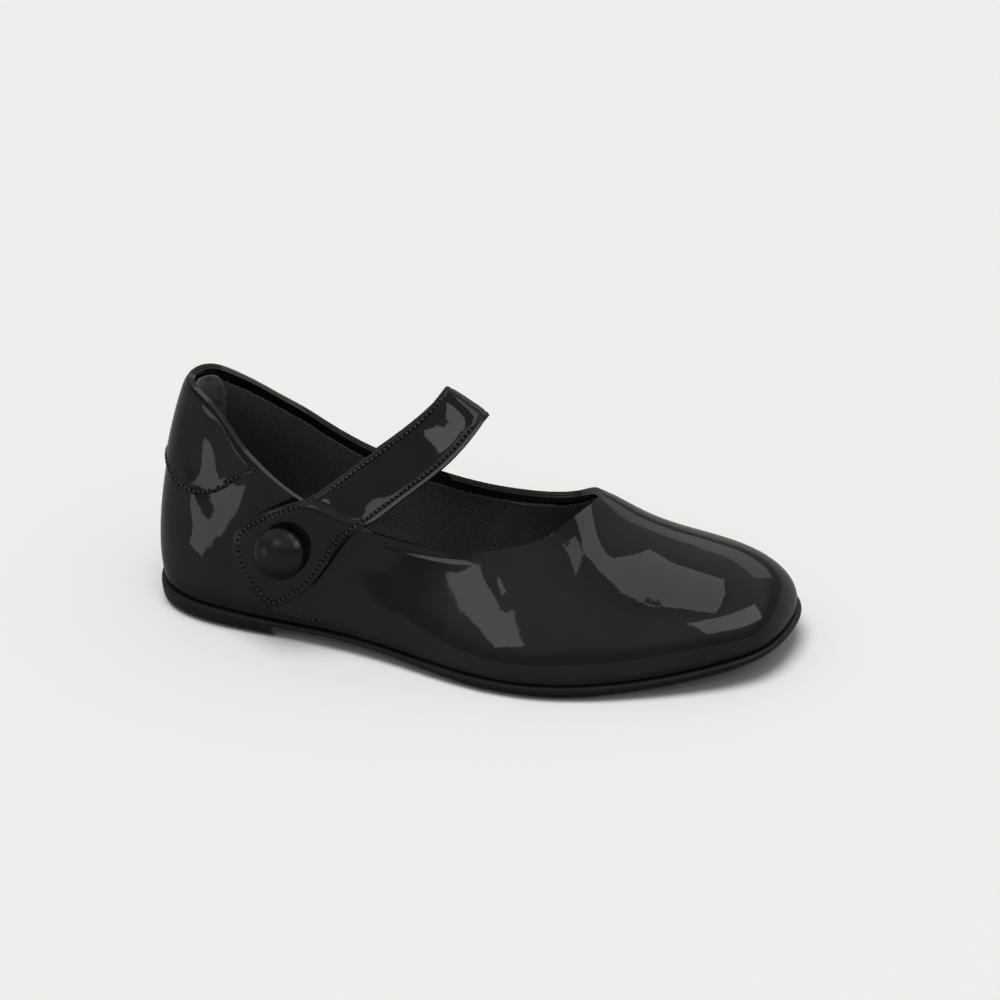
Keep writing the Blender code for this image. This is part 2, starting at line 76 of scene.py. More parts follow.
# the last, the form that the upper is pulled over
last = {
    "length": 170.0,       # feather line, back of the heel to the toe tip
    "throat": 0.70,        # share of the length behind which the upper may open
    "spine": 0.17,         # share of the length of the upright line the heel ribs fan round
    "spineBlend": 0.04,    # how softly the ribs leave the line
    "bellyOfWidth": 0.18,  # most that the wall may bulge, of a rib's width and of its rise
    "bellyOfRise": 0.3,
    # share of length: sideways place of the centre line
    "centre": ((0, 0), (.15, 0), (.3, 0), (.45, .004), (.6, .015), (.75, .033), (.9, .058), (1, .074)),
    # share of length: half width on the lateral side, on the medial side
    "halfWidth": (
        (0, 0, 0), (.02, .096, .092), (.05, .126, .122), (.09, .143, .138), (.14, .151, .144),
        (.21, .154, .138), (.3, .156, .124), (.39, .167, .115), (.476, .189, .116),
        (.56, .212, .127), (.64, .222, .141), (.71, .217, .152), (.78, .201, .156),
        (.85, .178, .147), (.912, .151, .124), (.955, .124, .098), (.98, .095, .072), (1, 0, 0)),
    # share of length: height where the upper meets the sole
    "feather": (
        (0, 6.2), (.12, 5.8), (.24, 5.3), (.35, 4.9), (.45, 4.4), (.55, 4.1), (.65, 4.1),
        (.74, 4.5), (.83, 5.6), (.92, 7.6), (1, 9.5)),
    # share of length: height of the last's crest
    "crest": (
        (0, 84.5), (.17, 84.5), (.3, 75.4), (.42, 62.6), (.55, 51.1), (.65, 43.9), (.7, 40.6), (.75, 35.4),
        (.85, 28.6), (.92, 24.8), (.97, 19.6), (1, 9.5)),
    # share of length: fullness going up, flatness at the crest, belly in mm
    "section": (
        (0, .90, .55, 5.2), (.1, .91, .53, 3.6), (.2, .90, .50, 2.6), (.4, .80, .42, 1.6),
        (.55, .74, .36, 1.4), (.7, .76, .36, 1.4), (.85, .84, .45, 1.5), (1, .90, .52, 1.6)),
    # share of length: how far the wall closes in at the topline, lateral and medial
    "closeIn": (
        (0, .50, .50), (.06, .515, .52), (.10, .562, .574), (.15, .701, .72), (.22, .797, .869),
        (.3, .829, .99), (.4, .835, 1.12), (.5, .83, 1.13), (.6, .84, 1.05), (.7, .92, 1.0),
        (.8, 1, 1), (1, 1, 1)),
    # share of length: height by which it has closed in
    "closedBy": (
        (0, 61), (.05, 61), (.10, 56.8), (.15, 50.2), (.22, 42.4), (.3, 36.2), (.4, 32.4),
        (.5, 31.2), (.6, 32.8), (.7, 36), (.8, 33.5), (1, 28)),
    # share of length: height of the topline, lateral and medial
    "topline": (
        (0, 60.9, 60.9), (.04, 61.1, 61.1), (.06, 60.4, 60.2), (.08, 58.9, 58.4), (.1, 56.9, 56.2),
        (.12, 54.3, 53.6), (.15, 50.3, 49.5), (.18, 46.9, 46.2), (.22, 42.5, 41.9),
        (.26, 38.9, 38.4), (.3, 36.2, 35.8), (.35, 33.9, 33.7), (.4, 32.5, 32.2), (.45, 31.7, 31),
        (.5, 31.5, 30.4), (.55, 32.2, 30.6), (.6, 33.8, 31.8), (.65, 36.8, 35.3), (.7, 41.0, 40.6),
        (.76, 33.9, 33.9)),
}


def curveThrough(rows, column=1):
    # a natural cubic through one column of a table
    x = np.array([row[0] for row in rows], float)
    y = np.array([row[column] for row in rows], float)
    n = len(x)
    h = np.diff(x)
    a, b = np.eye(n), np.zeros(n)
    for i in range(1, n - 1):
        a[i, i - 1:i + 2] = h[i - 1], 2 * (h[i - 1] + h[i]), h[i]
        b[i] = 6 * ((y[i + 1] - y[i]) / h[i] - (y[i] - y[i - 1]) / h[i - 1])
    m = np.linalg.solve(a, b)

    def read(at):
        at = np.clip(np.asarray(at, float), x[0], x[-1])
        k = np.clip(np.searchsorted(x, at) - 1, 0, n - 2)
        p, q = x[k + 1] - at, at - x[k]
        return ((m[k] * p ** 3 + m[k + 1] * q ** 3) / (6 * h[k])
                + (y[k] / h[k] - m[k] * h[k] / 6) * p + (y[k + 1] / h[k] - m[k + 1] * h[k] / 6) * q)
    return read


def turnAt(share):
    # heel is 0 and toe is pi, so both ends of the shoe come in round
    return np.arccos(1 - 2 * np.clip(share, 0, 1))


def roundEnds(rows, column=1):
    return [(math.acos(1 - 2 * row[0]), row[column]) for row in rows]


def eased(s):
    s = np.clip(s, 0, 1)
    return s * s * (3 - 2 * s)


length = last["length"]
centreAt = curveThrough(last["centre"])
featherAt = curveThrough(last["feather"])
crestAt = curveThrough(roundEnds(last["crest"]))
closedByAt = curveThrough(last["closedBy"])
sectionAt = [curveThrough(last["section"], column) for column in (1, 2, 3)]
halfAt = {side: curveThrough(roundEnds(last["halfWidth"], column)) for side, column in ((-1, 1), (1, 2))}
closeInAt = {side: curveThrough(last["closeIn"], column) for side, column in ((-1, 1), (1, 2))}
toplineAt = {side: curveThrough(last["topline"], column) for side, column in ((-1, 1), (1, 2))}


def featherPoint(t, side):
    share = (1 - math.cos(t)) / 2
    y = float(centreAt(share)) + side * float(halfAt[side](t))
    return np.array([share * length, y * length, float(featherAt(share))])


def lastRib(t, side, steps):
    # one rib of the last, from the feather line up to the crest, drawn in toward the topline
    foot = featherPoint(t, side)
    share = foot[0] / length
    spine, blend = last["spine"], last["spineBlend"]
    back = share - spine
    headShare = spine + .5 * (back + math.hypot(back, blend))
    headShare -= .5 * (math.hypot(1 - spine, blend) - (1 - spine)) * max(back, 0) / (1 - spine)
    head = np.array([headShare, float(centreAt(headShare))]) * length
    out = foot[:2] - head
    width = math.hypot(*out)
    out = out / width if width > 1e-6 else np.array([1.0, 0.0])
    low, high = foot[2], float(crestAt(turnAt(headShare)))
    rise = high - low
    full, flat, belly = (float(read(share)) for read in sectionAt)
    belly = min(belly, last["bellyOfWidth"] * width, last["bellyOfRise"] * rise)
    hull = np.array([
        (width, low), (width + belly, low + .24 * rise),
        (width * full + .15 * belly, low + .86 * full * rise), (width * flat, high), (0, high)])
    s = np.linspace(0, 1, steps)
    weight = np.array([(1 - s) ** 4, 4 * s * (1 - s) ** 3, 6 * s ** 2 * (1 - s) ** 2,
                       4 * s ** 3 * (1 - s), s ** 4])
    rib = weight.T @ hull
    x, y, z = head[0] + out[0] * rib[:, 0], head[1] + out[1] * rib[:, 0], rib[:, 1]
    shares = np.clip(x / length, 0, 1)
    middle = centreAt(shares) * length
    climb = eased((z - featherAt(shares)) / (closedByAt(shares) - featherAt(shares)))
    keep = 1 - (1 - closeInAt[side](shares)) * climb
    return np.column_stack([x, middle + (y - middle) * keep, z])


def upperRib(t, side, steps=300):
    # the same rib, ending at the topline where the shoe is open
    rib = lastRib(t, side, steps)
    shares = rib[:, 0] / length
    top = toplineAt[side](shares)
    over = (rib[:, 2] >= top) & (shares < last["throat"])
    if over.any():
        k = int(np.argmax(over))
        before, after = top[k - 1] - rib[k - 1, 2], rib[k, 2] - top[k]
        rib = np.vstack([rib[:k], rib[k - 1] + (rib[k] - rib[k - 1]) * before / (before + after)])
    return rib


def throatTurn():
    # the turn at which the topline meets the crest
    low, high = turnAt(.60), turnAt(.72)
    for _ in range(50):
        middle = (low + high) / 2
        if float(crestAt(middle)) > float(toplineAt[-1]((1 - math.cos(middle)) / 2)):
            low = middle
        else:
            high = middle
    return (low + high) / 2


throat = throatTurn()
throatX = (1 - math.cos(throat)) / 2 * length


def runAlong(points):
    # distance along each line of points from its first one
    steps = np.linalg.norm(np.diff(points, axis=-2), axis=-1)
    return np.concatenate([np.zeros_like(steps[..., :1]), np.cumsum(steps, axis=-1)], axis=-1)


def pointAt(line, run, place):
    return np.stack([np.interp(place, run, line[:, i]) for i in range(3)], axis=-1)


def alongRib(rib, down):
    # points at distances measured down the wall from the rib's top end
    run = runAlong(rib[::-1])
    return pointAt(rib[::-1], run, np.clip(down, 0, run[-1]))


def ribLength(rib):
    return float(np.linalg.norm(np.diff(rib, axis=0), axis=1).sum())


def downFromEdge(t, distance):
    # how far down its rib a line lies that keeps this distance from the collar's edge
    ahead = (1 - math.cos(t)) / 2 * length - throatX
    return distance if ahead <= 0 else math.sqrt(max(0.0, distance ** 2 - ahead ** 2))


def roundTheShoe(lateral, medial=None):
    # (turn, side) of each column: lateral from the front to the heel, then medial back to the front
    medial = lateral if medial is None else medial
    return [(t, -1) for t in lateral[::-1]] + [(t, 1) for t in medial[1:]]


def unit(vectors):
    return vectors / np.maximum(np.linalg.norm(vectors, axis=-1, keepdims=True), 1e-9)


def outwardNormals(points):
    return unit(np.cross(np.gradient(points, axis=1), np.gradient(points, axis=0)))


def pick(*pieces):
    bpy.ops.object.select_all(action="DESELECT")
    for piece in pieces:
        piece.select_set(True)
    bpy.context.view_layer.objects.active = pieces[0]


@contextmanager
def editing(piece, selected="SELECT"):
    pick(piece)
    bpy.ops.object.mode_set(mode="EDIT")
    bpy.ops.mesh.select_all(action=selected)
    yield
    bpy.ops.object.mode_set(mode="OBJECT")


def linked(name, data):
    holder = bpy.data.objects.new(name, data)
    bpy.context.scene.collection.objects.link(holder)
    return holder


def joined(name, parts):
    pick(*parts)
    bpy.ops.object.join()
    whole = bpy.context.object
    whole.name = whole.data.name = name
    return whole


def verticesOf(piece, what="co"):
    values = np.zeros(len(piece.data.vertices) * 3, np.float32)
    piece.data.vertices.foreach_get(what, values)
    return values.reshape(-1, 3)


def putVertices(piece, points):
    # points in millimetres from the back of the heel
    piece.data.vertices.foreach_set("co", ((points + heelInFrame) * mm).astype(np.float32).ravel())
    piece.data.update()


def layGrid(name, points):
    # a primitive grid, its points then laid on the surface; the UV map is in millimetres
    columns, rows = points.shape[:2]
    bpy.ops.mesh.primitive_grid_add(x_subdivisions=columns - 1, y_subdivisions=rows - 1, size=1)
    sheet = bpy.context.object
    sheet.name = sheet.data.name = name
    flat = np.zeros((rows, columns, 2))
    flat[:, :, 0] = runAlong(points[:, rows // 2])
    flat[:, :, 1] = runAlong(points).T
    corner = np.zeros(len(sheet.data.loops), np.int32)
    sheet.data.loops.foreach_get("vertex_index", corner)
    sheet.data.uv_layers[0].data.foreach_set("uv", flat.reshape(-1, 2)[corner].astype(np.float32).ravel())
    putVertices(sheet, np.swapaxes(points, 0, 1).reshape(-1, 3))
    return sheet


def mergeDoubles(piece, distance=0.02):
    with editing(piece):
        bpy.ops.mesh.remove_doubles(threshold=distance * mm)
        bpy.ops.mesh.dissolve_degenerate(threshold=0.001 * mm)
        bpy.ops.mesh.select_all(action="SELECT")
        bpy.ops.mesh.normals_make_consistent(inside=False)


def faceOutwards(piece):
    # an open sheet over the instep faces away from the middle of the shoe
    facing = 0
    for face in piece.data.polygons:
        away = face.center - Vector((face.center.x, 0, 20 * mm))
        facing += face.area * face.normal.dot(away)
    if facing < 0:
        with editing(piece):
            bpy.ops.mesh.flip_normals()


def thicken(piece, depth, rimMark=True):
    # a wall behind an outward-facing sheet; rim faces carry the second material slot's number
    bpy.context.view_layer.objects.active = piece
    wall = piece.modifiers.new("Solidify", "SOLIDIFY")
    wall.thickness = depth * mm
    wall.offset = -1.0
    wall.use_even_offset = True
    wall.material_offset_rim = 1 if rimMark else 0
    bpy.ops.object.modifier_apply(modifier=wall.name)


def roundRim(piece, radius, above, segments):
    # bevel the two long edges of the rim that lies higher than a given height over the feather line
    with editing(piece, "DESELECT"):
        edit = bmesh.from_edit_mesh(piece.data)
        for edge in edit.edges:
            if sorted(face.material_index for face in edge.link_faces) == [0, 1]:
                middle = (edge.verts[0].co + edge.verts[1].co) / 2
                share = (middle.x / mm - heelInFrame[0]) / length
                if middle.z / mm > float(featherAt(share)) + above:
                    edge.select = True
        edit.select_flush(True)
        bmesh.update_edit_mesh(piece.data)
        bpy.ops.mesh.bevel(offset=radius * mm, segments=segments, profile=0.5, affect="EDGES")
        bpy.ops.mesh.select_all(action="DESELECT")
    for face in piece.data.polygons:
        face.material_index = 0


def smooth(piece, angle):
    pick(piece)
    bpy.ops.object.shade_smooth_by_angle(angle=math.radians(angle))
    bpy.ops.object.select_all(action="DESELECT")


def layWall(name, points, thick, rim=0.0, above=8, segments=3, merge=.02, angle=60, overInstep=False):
    # a sheet thickened inwards, its rim rounded where a radius is given
    piece = layGrid(name, points)
    mergeDoubles(piece, merge)
    if overInstep:
        faceOutwards(piece)
    thicken(piece, thick, rimMark=rim > 0)
    if rim:
        roundRim(piece, rim, above, segments)
    smooth(piece, angle)
    return piece


raster = {"step": .5, "ahead": 128, "low": 4, "high": 62}


def wallMap(side):
    # y of the outer wall on an even raster of x and height
    ribs = [lastRib(t, side, 200) for t in np.linspace(0, turnAt(.75), 150)]
    places = np.arange(0, raster["ahead"], raster["step"])
    heights = np.arange(raster["low"], raster["high"], raster["step"])
    table = np.zeros((len(heights), len(places)))
    for row, z in enumerate(heights):
        xs = [np.interp(z, rib[:, 2], rib[:, 0]) for rib in ribs]
        ys = [np.interp(z, rib[:, 2], rib[:, 1]) for rib in ribs]
        table[row] = np.interp(places, xs, ys)
    return table


wallTables = {-1: wallMap(-1), 1: wallMap(1)}


def wallY(x, z, side):
    table = wallTables[side]
    i = np.clip((np.asarray(z, float) - raster["low"]) / raster["step"], 0, table.shape[0] - 1.001)
    j = np.clip(np.asarray(x, float) / raster["step"], 0, table.shape[1] - 1.001)
    r, c = i.astype(int), j.astype(int)
    p, q = i - r, j - c
    return ((table[r, c] * (1 - q) + table[r, c + 1] * q) * (1 - p)
            + (table[r + 1, c] * (1 - q) + table[r + 1, c + 1] * q) * p)


def wallAt(x, z, side, lift=0.0):
    # point on the wall, raised off it along the outward normal, and that normal
    x, z = np.asarray(x, float), np.asarray(z, float)
    step = 1.0
    slopeX = (wallY(x + step, z, side) - wallY(x - step, z, side)) / (2 * step)
    slopeZ = (wallY(x, z + step, side) - wallY(x, z - step, side)) / (2 * step)
    normal = unit(np.stack([-slopeX, np.ones_like(x), -slopeZ], axis=-1) * side)
    return np.stack([x, wallY(x, z, side), z], axis=-1) + normal * lift, normal


print("last worked out, throat at", round(throatX, 1), "mm from the heel")


def hexColour(code):
    # sRGB hex to linear
    parts = [int(code[i:i + 2], 16) / 255 for i in (1, 3, 5)]
    return tuple(c / 12.92 if c <= .04045 else ((c + .055) / 1.055) ** 2.4 for c in parts) + (1.0,)


def newMaterial(name):
    made = bpy.data.materials.new(name)
    made.use_nodes = True
    tree = made.node_tree
    return made, tree, tree.nodes["Principled BSDF"]


def wire(tree, node, inputs=None, links=None):
    # sets plain values and links; a node given as a source stands for its first output
    for name, value in (inputs or {}).items():
        node.inputs[name].default_value = value
    for name, source in (links or {}).items():
        tree.links.new(getattr(source, "outputs", [source])[0], node.inputs[name])


def addNode(tree, kind, inputs=None, links=None, stops=(), **settings):
    node = tree.nodes.new("ShaderNode" + kind)
    for name, value in settings.items():
        setattr(node, name, value)
    for k, (position, code) in enumerate(stops):
        node.color_ramp.elements[k].position = position
        node.color_ramp.elements[k].color = hexColour(code)
    wire(tree, node, inputs, links)
    return node


def patentLeather():
    # PU-coated calf: a hard, nearly liquid gloss with a faint orange peel over black,
    # so lamps show in it with crisp, slightly wavering edges
    made, tree, shader = newMaterial("patentLeather")
    place = addNode(tree, "TexCoord").outputs["Object"]
    # 9 mm undulation of the lasted leather
    waver = addNode(tree, "TexNoise", {"Scale": 1000 / 9, "Detail": 1.5, "Roughness": .45},
                    {"Vector": place})
    # 1.2 mm orange peel, drawn a little coarse so that it shows
    peel = addNode(tree, "TexNoise", {"Scale": 1000 / 1.2, "Detail": 1.0}, {"Vector": place})
    soft = addNode(tree, "Bump", {"Strength": .5, "Distance": .00022}, {"Height": waver})
    fine = addNode(tree, "Bump", {"Strength": .12, "Distance": .00004},
                   {"Height": peel, "Normal": soft})
    # black pigment with a hint of grey where the coat is thicker
    tone = addNode(tree, "ValToRGB", None, {"Fac": waver}, ((.3, "#0f0f10"), (.7, "#151516")))
    # a film of handling dulls the gloss in patches
    film = addNode(tree, "TexNoise", {"Scale": 1000 / 14, "Detail": 4.0}, {"Vector": place})
    gloss = addNode(tree, "MapRange",
                    {"From Min": .35, "From Max": .75, "To Min": .025, "To Max": .06}, {"Value": film})
    wire(tree, shader, {"IOR": 1.47}, {"Base Color": tone, "Roughness": gloss, "Normal": fine})
    return made


def soleRubber():
    # moulded thermoplastic rubber: satin black with a fine spark-eroded grain
    made, tree, shader = newMaterial("mouldedRubber")
    place = addNode(tree, "TexCoord").outputs["Object"]
    # grain of 0.35 mm
    grain = addNode(tree, "TexNoise", {"Scale": 1000 / .35, "Detail": 2.0}, {"Vector": place})
    flow = addNode(tree, "TexNoise", {"Scale": 1000 / 16, "Detail": 3.0}, {"Vector": place})
    bump = addNode(tree, "Bump", {"Strength": .25, "Distance": .00008}, {"Height": grain})
    tone = addNode(tree, "ValToRGB", None, {"Fac": flow}, ((.3, "#0c0c0d"), (.7, "#121213")))
    gloss = addNode(tree, "MapRange",
                    {"From Min": .3, "From Max": .7, "To Min": .38, "To Max": .52}, {"Value": flow})
    wire(tree, shader, {"Specular IOR Level": .42}, {"Base Color": tone, "Roughness": gloss, "Normal": bump})
    return made


def twillCloth(name, dark, light, rib, lean, rise):
    # brushed polyester twill: matt, with fine raised ribs that run aslant
    made, tree, shader = newMaterial(name)
    flat = addNode(tree, "UVMap", uv_map="UVMap")
    # the UV map is in millimetres, and a wave of scale 1 repeats every pi / 10
    leaning = addNode(tree, "Mapping", {"Rotation": (0, 0, math.radians(lean))}, {"Vector": flat})
    ribs = addNode(tree, "TexWave", {"Scale": math.pi / 10 / rib, "Distortion": .2, "Detail": 1.0},
                   {"Vector": leaning})
    picks = addNode(tree, "TexWave",
                    {"Scale": math.pi / 10 / (rib * .8), "Distortion": .8, "Detail": 2.0},
                    {"Vector": leaning}, bands_direction="Y")
    weave = addNode(tree, "Math", {1: .35}, {0: picks.outputs["Fac"]}, operation="MULTIPLY")
    cloth = addNode(tree, "Math", None, {0: ribs.outputs["Fac"], 1: weave}, operation="ADD")
    bump = addNode(tree, "Bump", {"Strength": rise, "Distance": .00016}, {"Height": cloth})
    tone = addNode(tree, "ValToRGB", None, {"Fac": cloth}, ((.15, dark), (1.0, light)))
    wire(tree, shader, {"Roughness": .8, "Sheen Weight": .25, "Sheen Roughness": .4},
         {"Base Color": tone, "Normal": bump})
    return made


def suedeGrip():
    # sueded microfibre at the heel: a mottled nap, paler than the cloth round it
    made, tree, shader = newMaterial("suedeMicrofibre")
    place = addNode(tree, "TexCoord").outputs["Object"]
    nap = addNode(tree, "TexNoise", {"Scale": 1000 / 3.2, "Detail": 5.0, "Roughness": .6},
                  {"Vector": place})
    fuzz = addNode(tree, "TexNoise", {"Scale": 1000 / .3, "Detail": 2.0}, {"Vector": place})
    tone = addNode(tree, "ValToRGB", None, {"Fac": nap}, ((.35, "#424243"), (.68, "#7a7a7a")))
    bump = addNode(tree, "Bump", {"Strength": .5, "Distance": .00012}, {"Height": fuzz})
    wire(tree, shader, {"Roughness": .95, "Sheen Weight": .5}, {"Base Color": tone, "Normal": bump})
    return made


def sewingThread():
    # bonded polyester thread: a low sheen, twisted
    made, tree, shader = newMaterial("bondedThread")
    flat = addNode(tree, "UVMap", uv_map="UVMap")
    leaning = addNode(tree, "Mapping", {"Rotation": (0, 0, math.radians(35))}, {"Vector": flat})
    twist = addNode(tree, "TexWave", {"Scale": math.pi / 10 / .3}, {"Vector": leaning})
    bump = addNode(tree, "Bump", {"Strength": .6, "Distance": .00008},
                   {"Height": twist.outputs["Fac"]})
    tone = addNode(tree, "ValToRGB", None, {"Fac": twist.outputs["Fac"]},
                   ((0, "#1a1a1b"), (1, "#363638")))
    wire(tree, shader, {"Roughness": .42}, {"Base Color": tone, "Normal": bump})
    return made


def holeShadeMaterial():
    # painted shade of a needle hole: near black and matt, so it gives back nearly no light
    made, tree, shader = newMaterial("paintedHoleShade")
    place = addNode(tree, "TexCoord").outputs["Object"]
    # a faint random mottle in the painted shade
    shadeMottle = addNode(tree, "TexNoise", {"Scale": 1000 / .2, "Detail": 1.0}, {"Vector": place})
    tone = addNode(tree, "ValToRGB", None, {"Fac": shadeMottle}, ((0, "#020202"), (1, "#060606")))
    wire(tree, shader, {"Roughness": 1.0, "Specular IOR Level": .1}, {"Base Color": tone})
    return made


def buttonPlastic():
    # injection-moulded ABS: its highlights are softer than the patent's
    made, tree, shader = newMaterial("polishedAbs")
    place = addNode(tree, "TexCoord").outputs["Object"]
    handled = addNode(tree, "TexNoise", {"Scale": 1000 / 2.5, "Detail": 4.0}, {"Vector": place})
    gloss = addNode(tree, "MapRange",
                    {"From Min": .35, "From Max": .7, "To Min": .2, "To Max": .27}, {"Value": handled})
    tone = addNode(tree, "ValToRGB", None, {"Fac": handled}, ((0, "#0d0d0e"), (1, "#131314")))
    bump = addNode(tree, "Bump", {"Strength": .15, "Distance": .00005}, {"Height": handled})
    wire(tree, shader, {"IOR": 1.46}, {"Base Color": tone, "Roughness": gloss, "Normal": bump})
    return made


patent = patentLeather()
rubber = soleRubber()
vampCloth = twillCloth("vampTwill", "#1e1e1f", "#666667", .62, 40, .9)
quarterCloth = twillCloth("quarterTwill", "#1e1e1f", "#6a6a6b", .6, 34, .9)
insoleCloth = twillCloth("insoleTwill", "#2a2a2b", "#4a4a4b", .62, 45, .6)
suede = suedeGrip()
thread = sewingThread()
polishedAbs = buttonPlastic()
# a near-black matt colour, painted shade for the needle holes
paintedHoleShade = holeShadeMaterial()
print("materials made")


def hand(piece, material, slot, *stoodFor):
    if material:
        piece.data.materials.clear()
        piece.data.materials.append(material)
    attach(piece, "root")
    if stoodFor:
        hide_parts(*stoodFor)
    print("made", piece.name, len(piece.data.polygons), "faces")


# upper
upperSizes = {"columnsOpen": 132, "columnsVamp": 78, "rows": 44, "leather": 1.15, "edgeRound": .5}

# soft troughs (+) and ridges (-) worked in by lasting and wear: side, from x z, to x z, reach, depth
creases = (
    (-1, 96.5, 29.0, 102.5, 21.0, .9, .06),
    (-1, 88.0, 22.0, 96.0, 12.0, 3.4, .05),
    (-1, 108.0, 24.0, 122.0, 17.0, 4.0, -.08),
    (-1, 132.0, 23.0, 146.0, 19.0, 3.4, -.20),
    (-1, 64.0, 26.0, 74.0, 14.0, 4.5, .14),
    (-1, 9.0, 54.0, 12.0, 38.0, 2.6, .28),
    (-1, 4.0, 30.0, 14.0, 24.0, 3.6, .22),
    (1, 100.0, 28.0, 112.0, 18.0, 3.8, .22),
    (1, 82.0, 26.0, 92.0, 13.0, 4.2, .24),
    (1, 9.0, 52.0, 12.0, 38.0, 2.6, .24),
    (1, 58.0, 24.0, 66.0, 13.0, 4.0, .20),
)
# fold left by the turned edge on the lateral side: x where it starts and ends, depth under the topline
foldLine = {"from": 64.0, "to": 92.0, "under": 1.7, "reach": .5, "depth": .32}
# shallow ridge over the stitched end of the fastening's base, under the paddle
patchRidge = (-1, 38.5, 7.9, 50.5, 7.5, .55, -.22)


def bending(points, dents, parts=12):
    # how far each point sinks, by its distance from each dent's middle line
    sunk = np.zeros(len(points))
    for side, x0, z0, x1, z1, reach, depth in dents:
        s = np.linspace(0, 1, parts + 1)
        line, _ = wallAt(x0 + (x1 - x0) * s, z0 + (z1 - z0) * s, side)
        best, near = np.zeros(len(points)), np.full(len(points), np.inf)
        for k in range(parts):
            a, b = line[k], line[k + 1]
            t = np.clip(((points - a) @ (b - a)) / ((b - a) @ (b - a)), 0, 1)
            away = np.linalg.norm(points - (a + t[:, None] * (b - a)), axis=1)
            at = (k + t) / parts
            # fading out toward both ends
            full = np.sin(np.pi * np.clip(.06 + .88 * at, 0, 1)) ** .7
            best = np.where(away < near, depth * np.exp(-(away / reach) ** 2) * full, best)
            near = np.minimum(near, away)
        sunk += best
    return sunk


def pointsOf(piece):
    # in millimetres from the back of the heel
    return verticesOf(piece).astype(float) / mm - heelInFrame


def openTurns(count, power=1.45):
    s = np.linspace(0, 1, count + 1)
    return throat * (1 - (1 - s) ** power)


def bandGrid(columns, rows, ends):
    # ends gives how far down its rib each column's top and bottom lie
    grid = []
    for t, side in columns:
        rib = upperRib(t, side)
        top, bottom = ends(t, side, ribLength(rib))
        grid.append(alongRib(rib, np.linspace(bottom, top, rows)))
    return np.array(grid)


def makeUpper():
    ahead = np.linspace(throat, math.pi, upperSizes["columnsVamp"] + 1)[1:]
    columns = roundTheShoe(np.r_[openTurns(upperSizes["columnsOpen"]), ahead])
    points = bandGrid(columns, upperSizes["rows"], lambda t, side, whole: (0.0, whole))
    piece = layGrid("patentUpper", points)
    mergeDoubles(piece)
    places = pointsOf(piece)
    sunk = bending(places, creases + (patchRidge,))
    # the fold under the topline fades out toward the throat
    top = toplineAt[-1](places[:, 0] / length)
    along = np.clip((places[:, 0] - foldLine["from"]) / (foldLine["to"] - foldLine["from"]), 0, 1)
    fold = foldLine["depth"] * np.exp(-((top - foldLine["under"] - places[:, 2]) / foldLine["reach"]) ** 2)
    sunk += fold * np.sin(np.pi * along) * (places[:, 1] < 0)
    putVertices(piece, places - verticesOf(piece, "normal") * sunk[:, None])
    thicken(piece, upperSizes["leather"])
    roundRim(piece, upperSizes["edgeRound"], above=8, segments=4)
    smooth(piece, 60)
    hand(piece, patent, "patent_leather", "upper")


def offsetGrid(points, lift):
    return points + outwardNormals(points) * lift


makeUpper()

# what lies inside the collar: facing, linings and heel grip
insideSizes = {
    "facingDeep": 6.0, "facingThick": .7, "liningDown": 3.3, "liningThick": .35, "bottomGap": 3.0,
    "toothPitch": 1.9, "toothRise": .45, "seamX": 88.0, "seamLean": .62, "seamHalf": 9.0, "lap": 14.0}
liningIn = upperSizes["leather"] + insideSizes["facingThick"] + .1


def makeFacing():
    reach = insideSizes["facingDeep"]
    lastTurn = float(turnAt((throatX + reach * .999) / length))
    turns = np.r_[openTurns(120), np.linspace(throat, lastTurn, 16)[1:]]

    def ends(t, side, whole):
        return 0.12 if t <= throat else 0.0, max(downFromEdge(t, reach), .02)
    points = offsetGrid(bandGrid(roundTheShoe(turns), 9, ends), -upperSizes["leather"] - .06)
    piece = layWall("collarFacing", points, insideSizes["facingThick"], rim=.28)
    hand(piece, patent, "patent_leather")


def pinked(run):
    # the cut edge's teeth: a saw profile, uneven as scissors leave it
    phase = run / insideSizes["toothPitch"]
    tooth = np.abs((phase % 1.0) - .5) * 2
    waver = .25 * np.sin(run * 1.7) + .2 * np.sin(run * .61 + 1.3)
    return insideSizes["toothRise"] * (tooth - .5 + waver * .5)


def liningEnds(t, whole, stretch=1.0):
    # from the pinked edge below the topline down to a little above the sole
    edge = downFromEdge(t, insideSizes["liningDown"])
    if t < throat:
        edge += pinked((1 - math.cos(t)) / 2 * length * 1.08 * stretch)
    return edge, max(whole - insideSizes["bottomGap"], edge + .2)


ribsKept = {}


def liningPoint(t, side, up):
    # up is 0 at the sole and 1 at the pinked edge; neighbouring points share a rib
    key = (round(t, 3), side)
    if key not in ribsKept:
        rib = upperRib(key[0], side)
        ribsKept[key] = rib, ribLength(rib)
    rib, whole = ribsKept[key]
    edge, stop = liningEnds(t, whole)
    return alongRib(rib, stop + (edge - stop) * up)


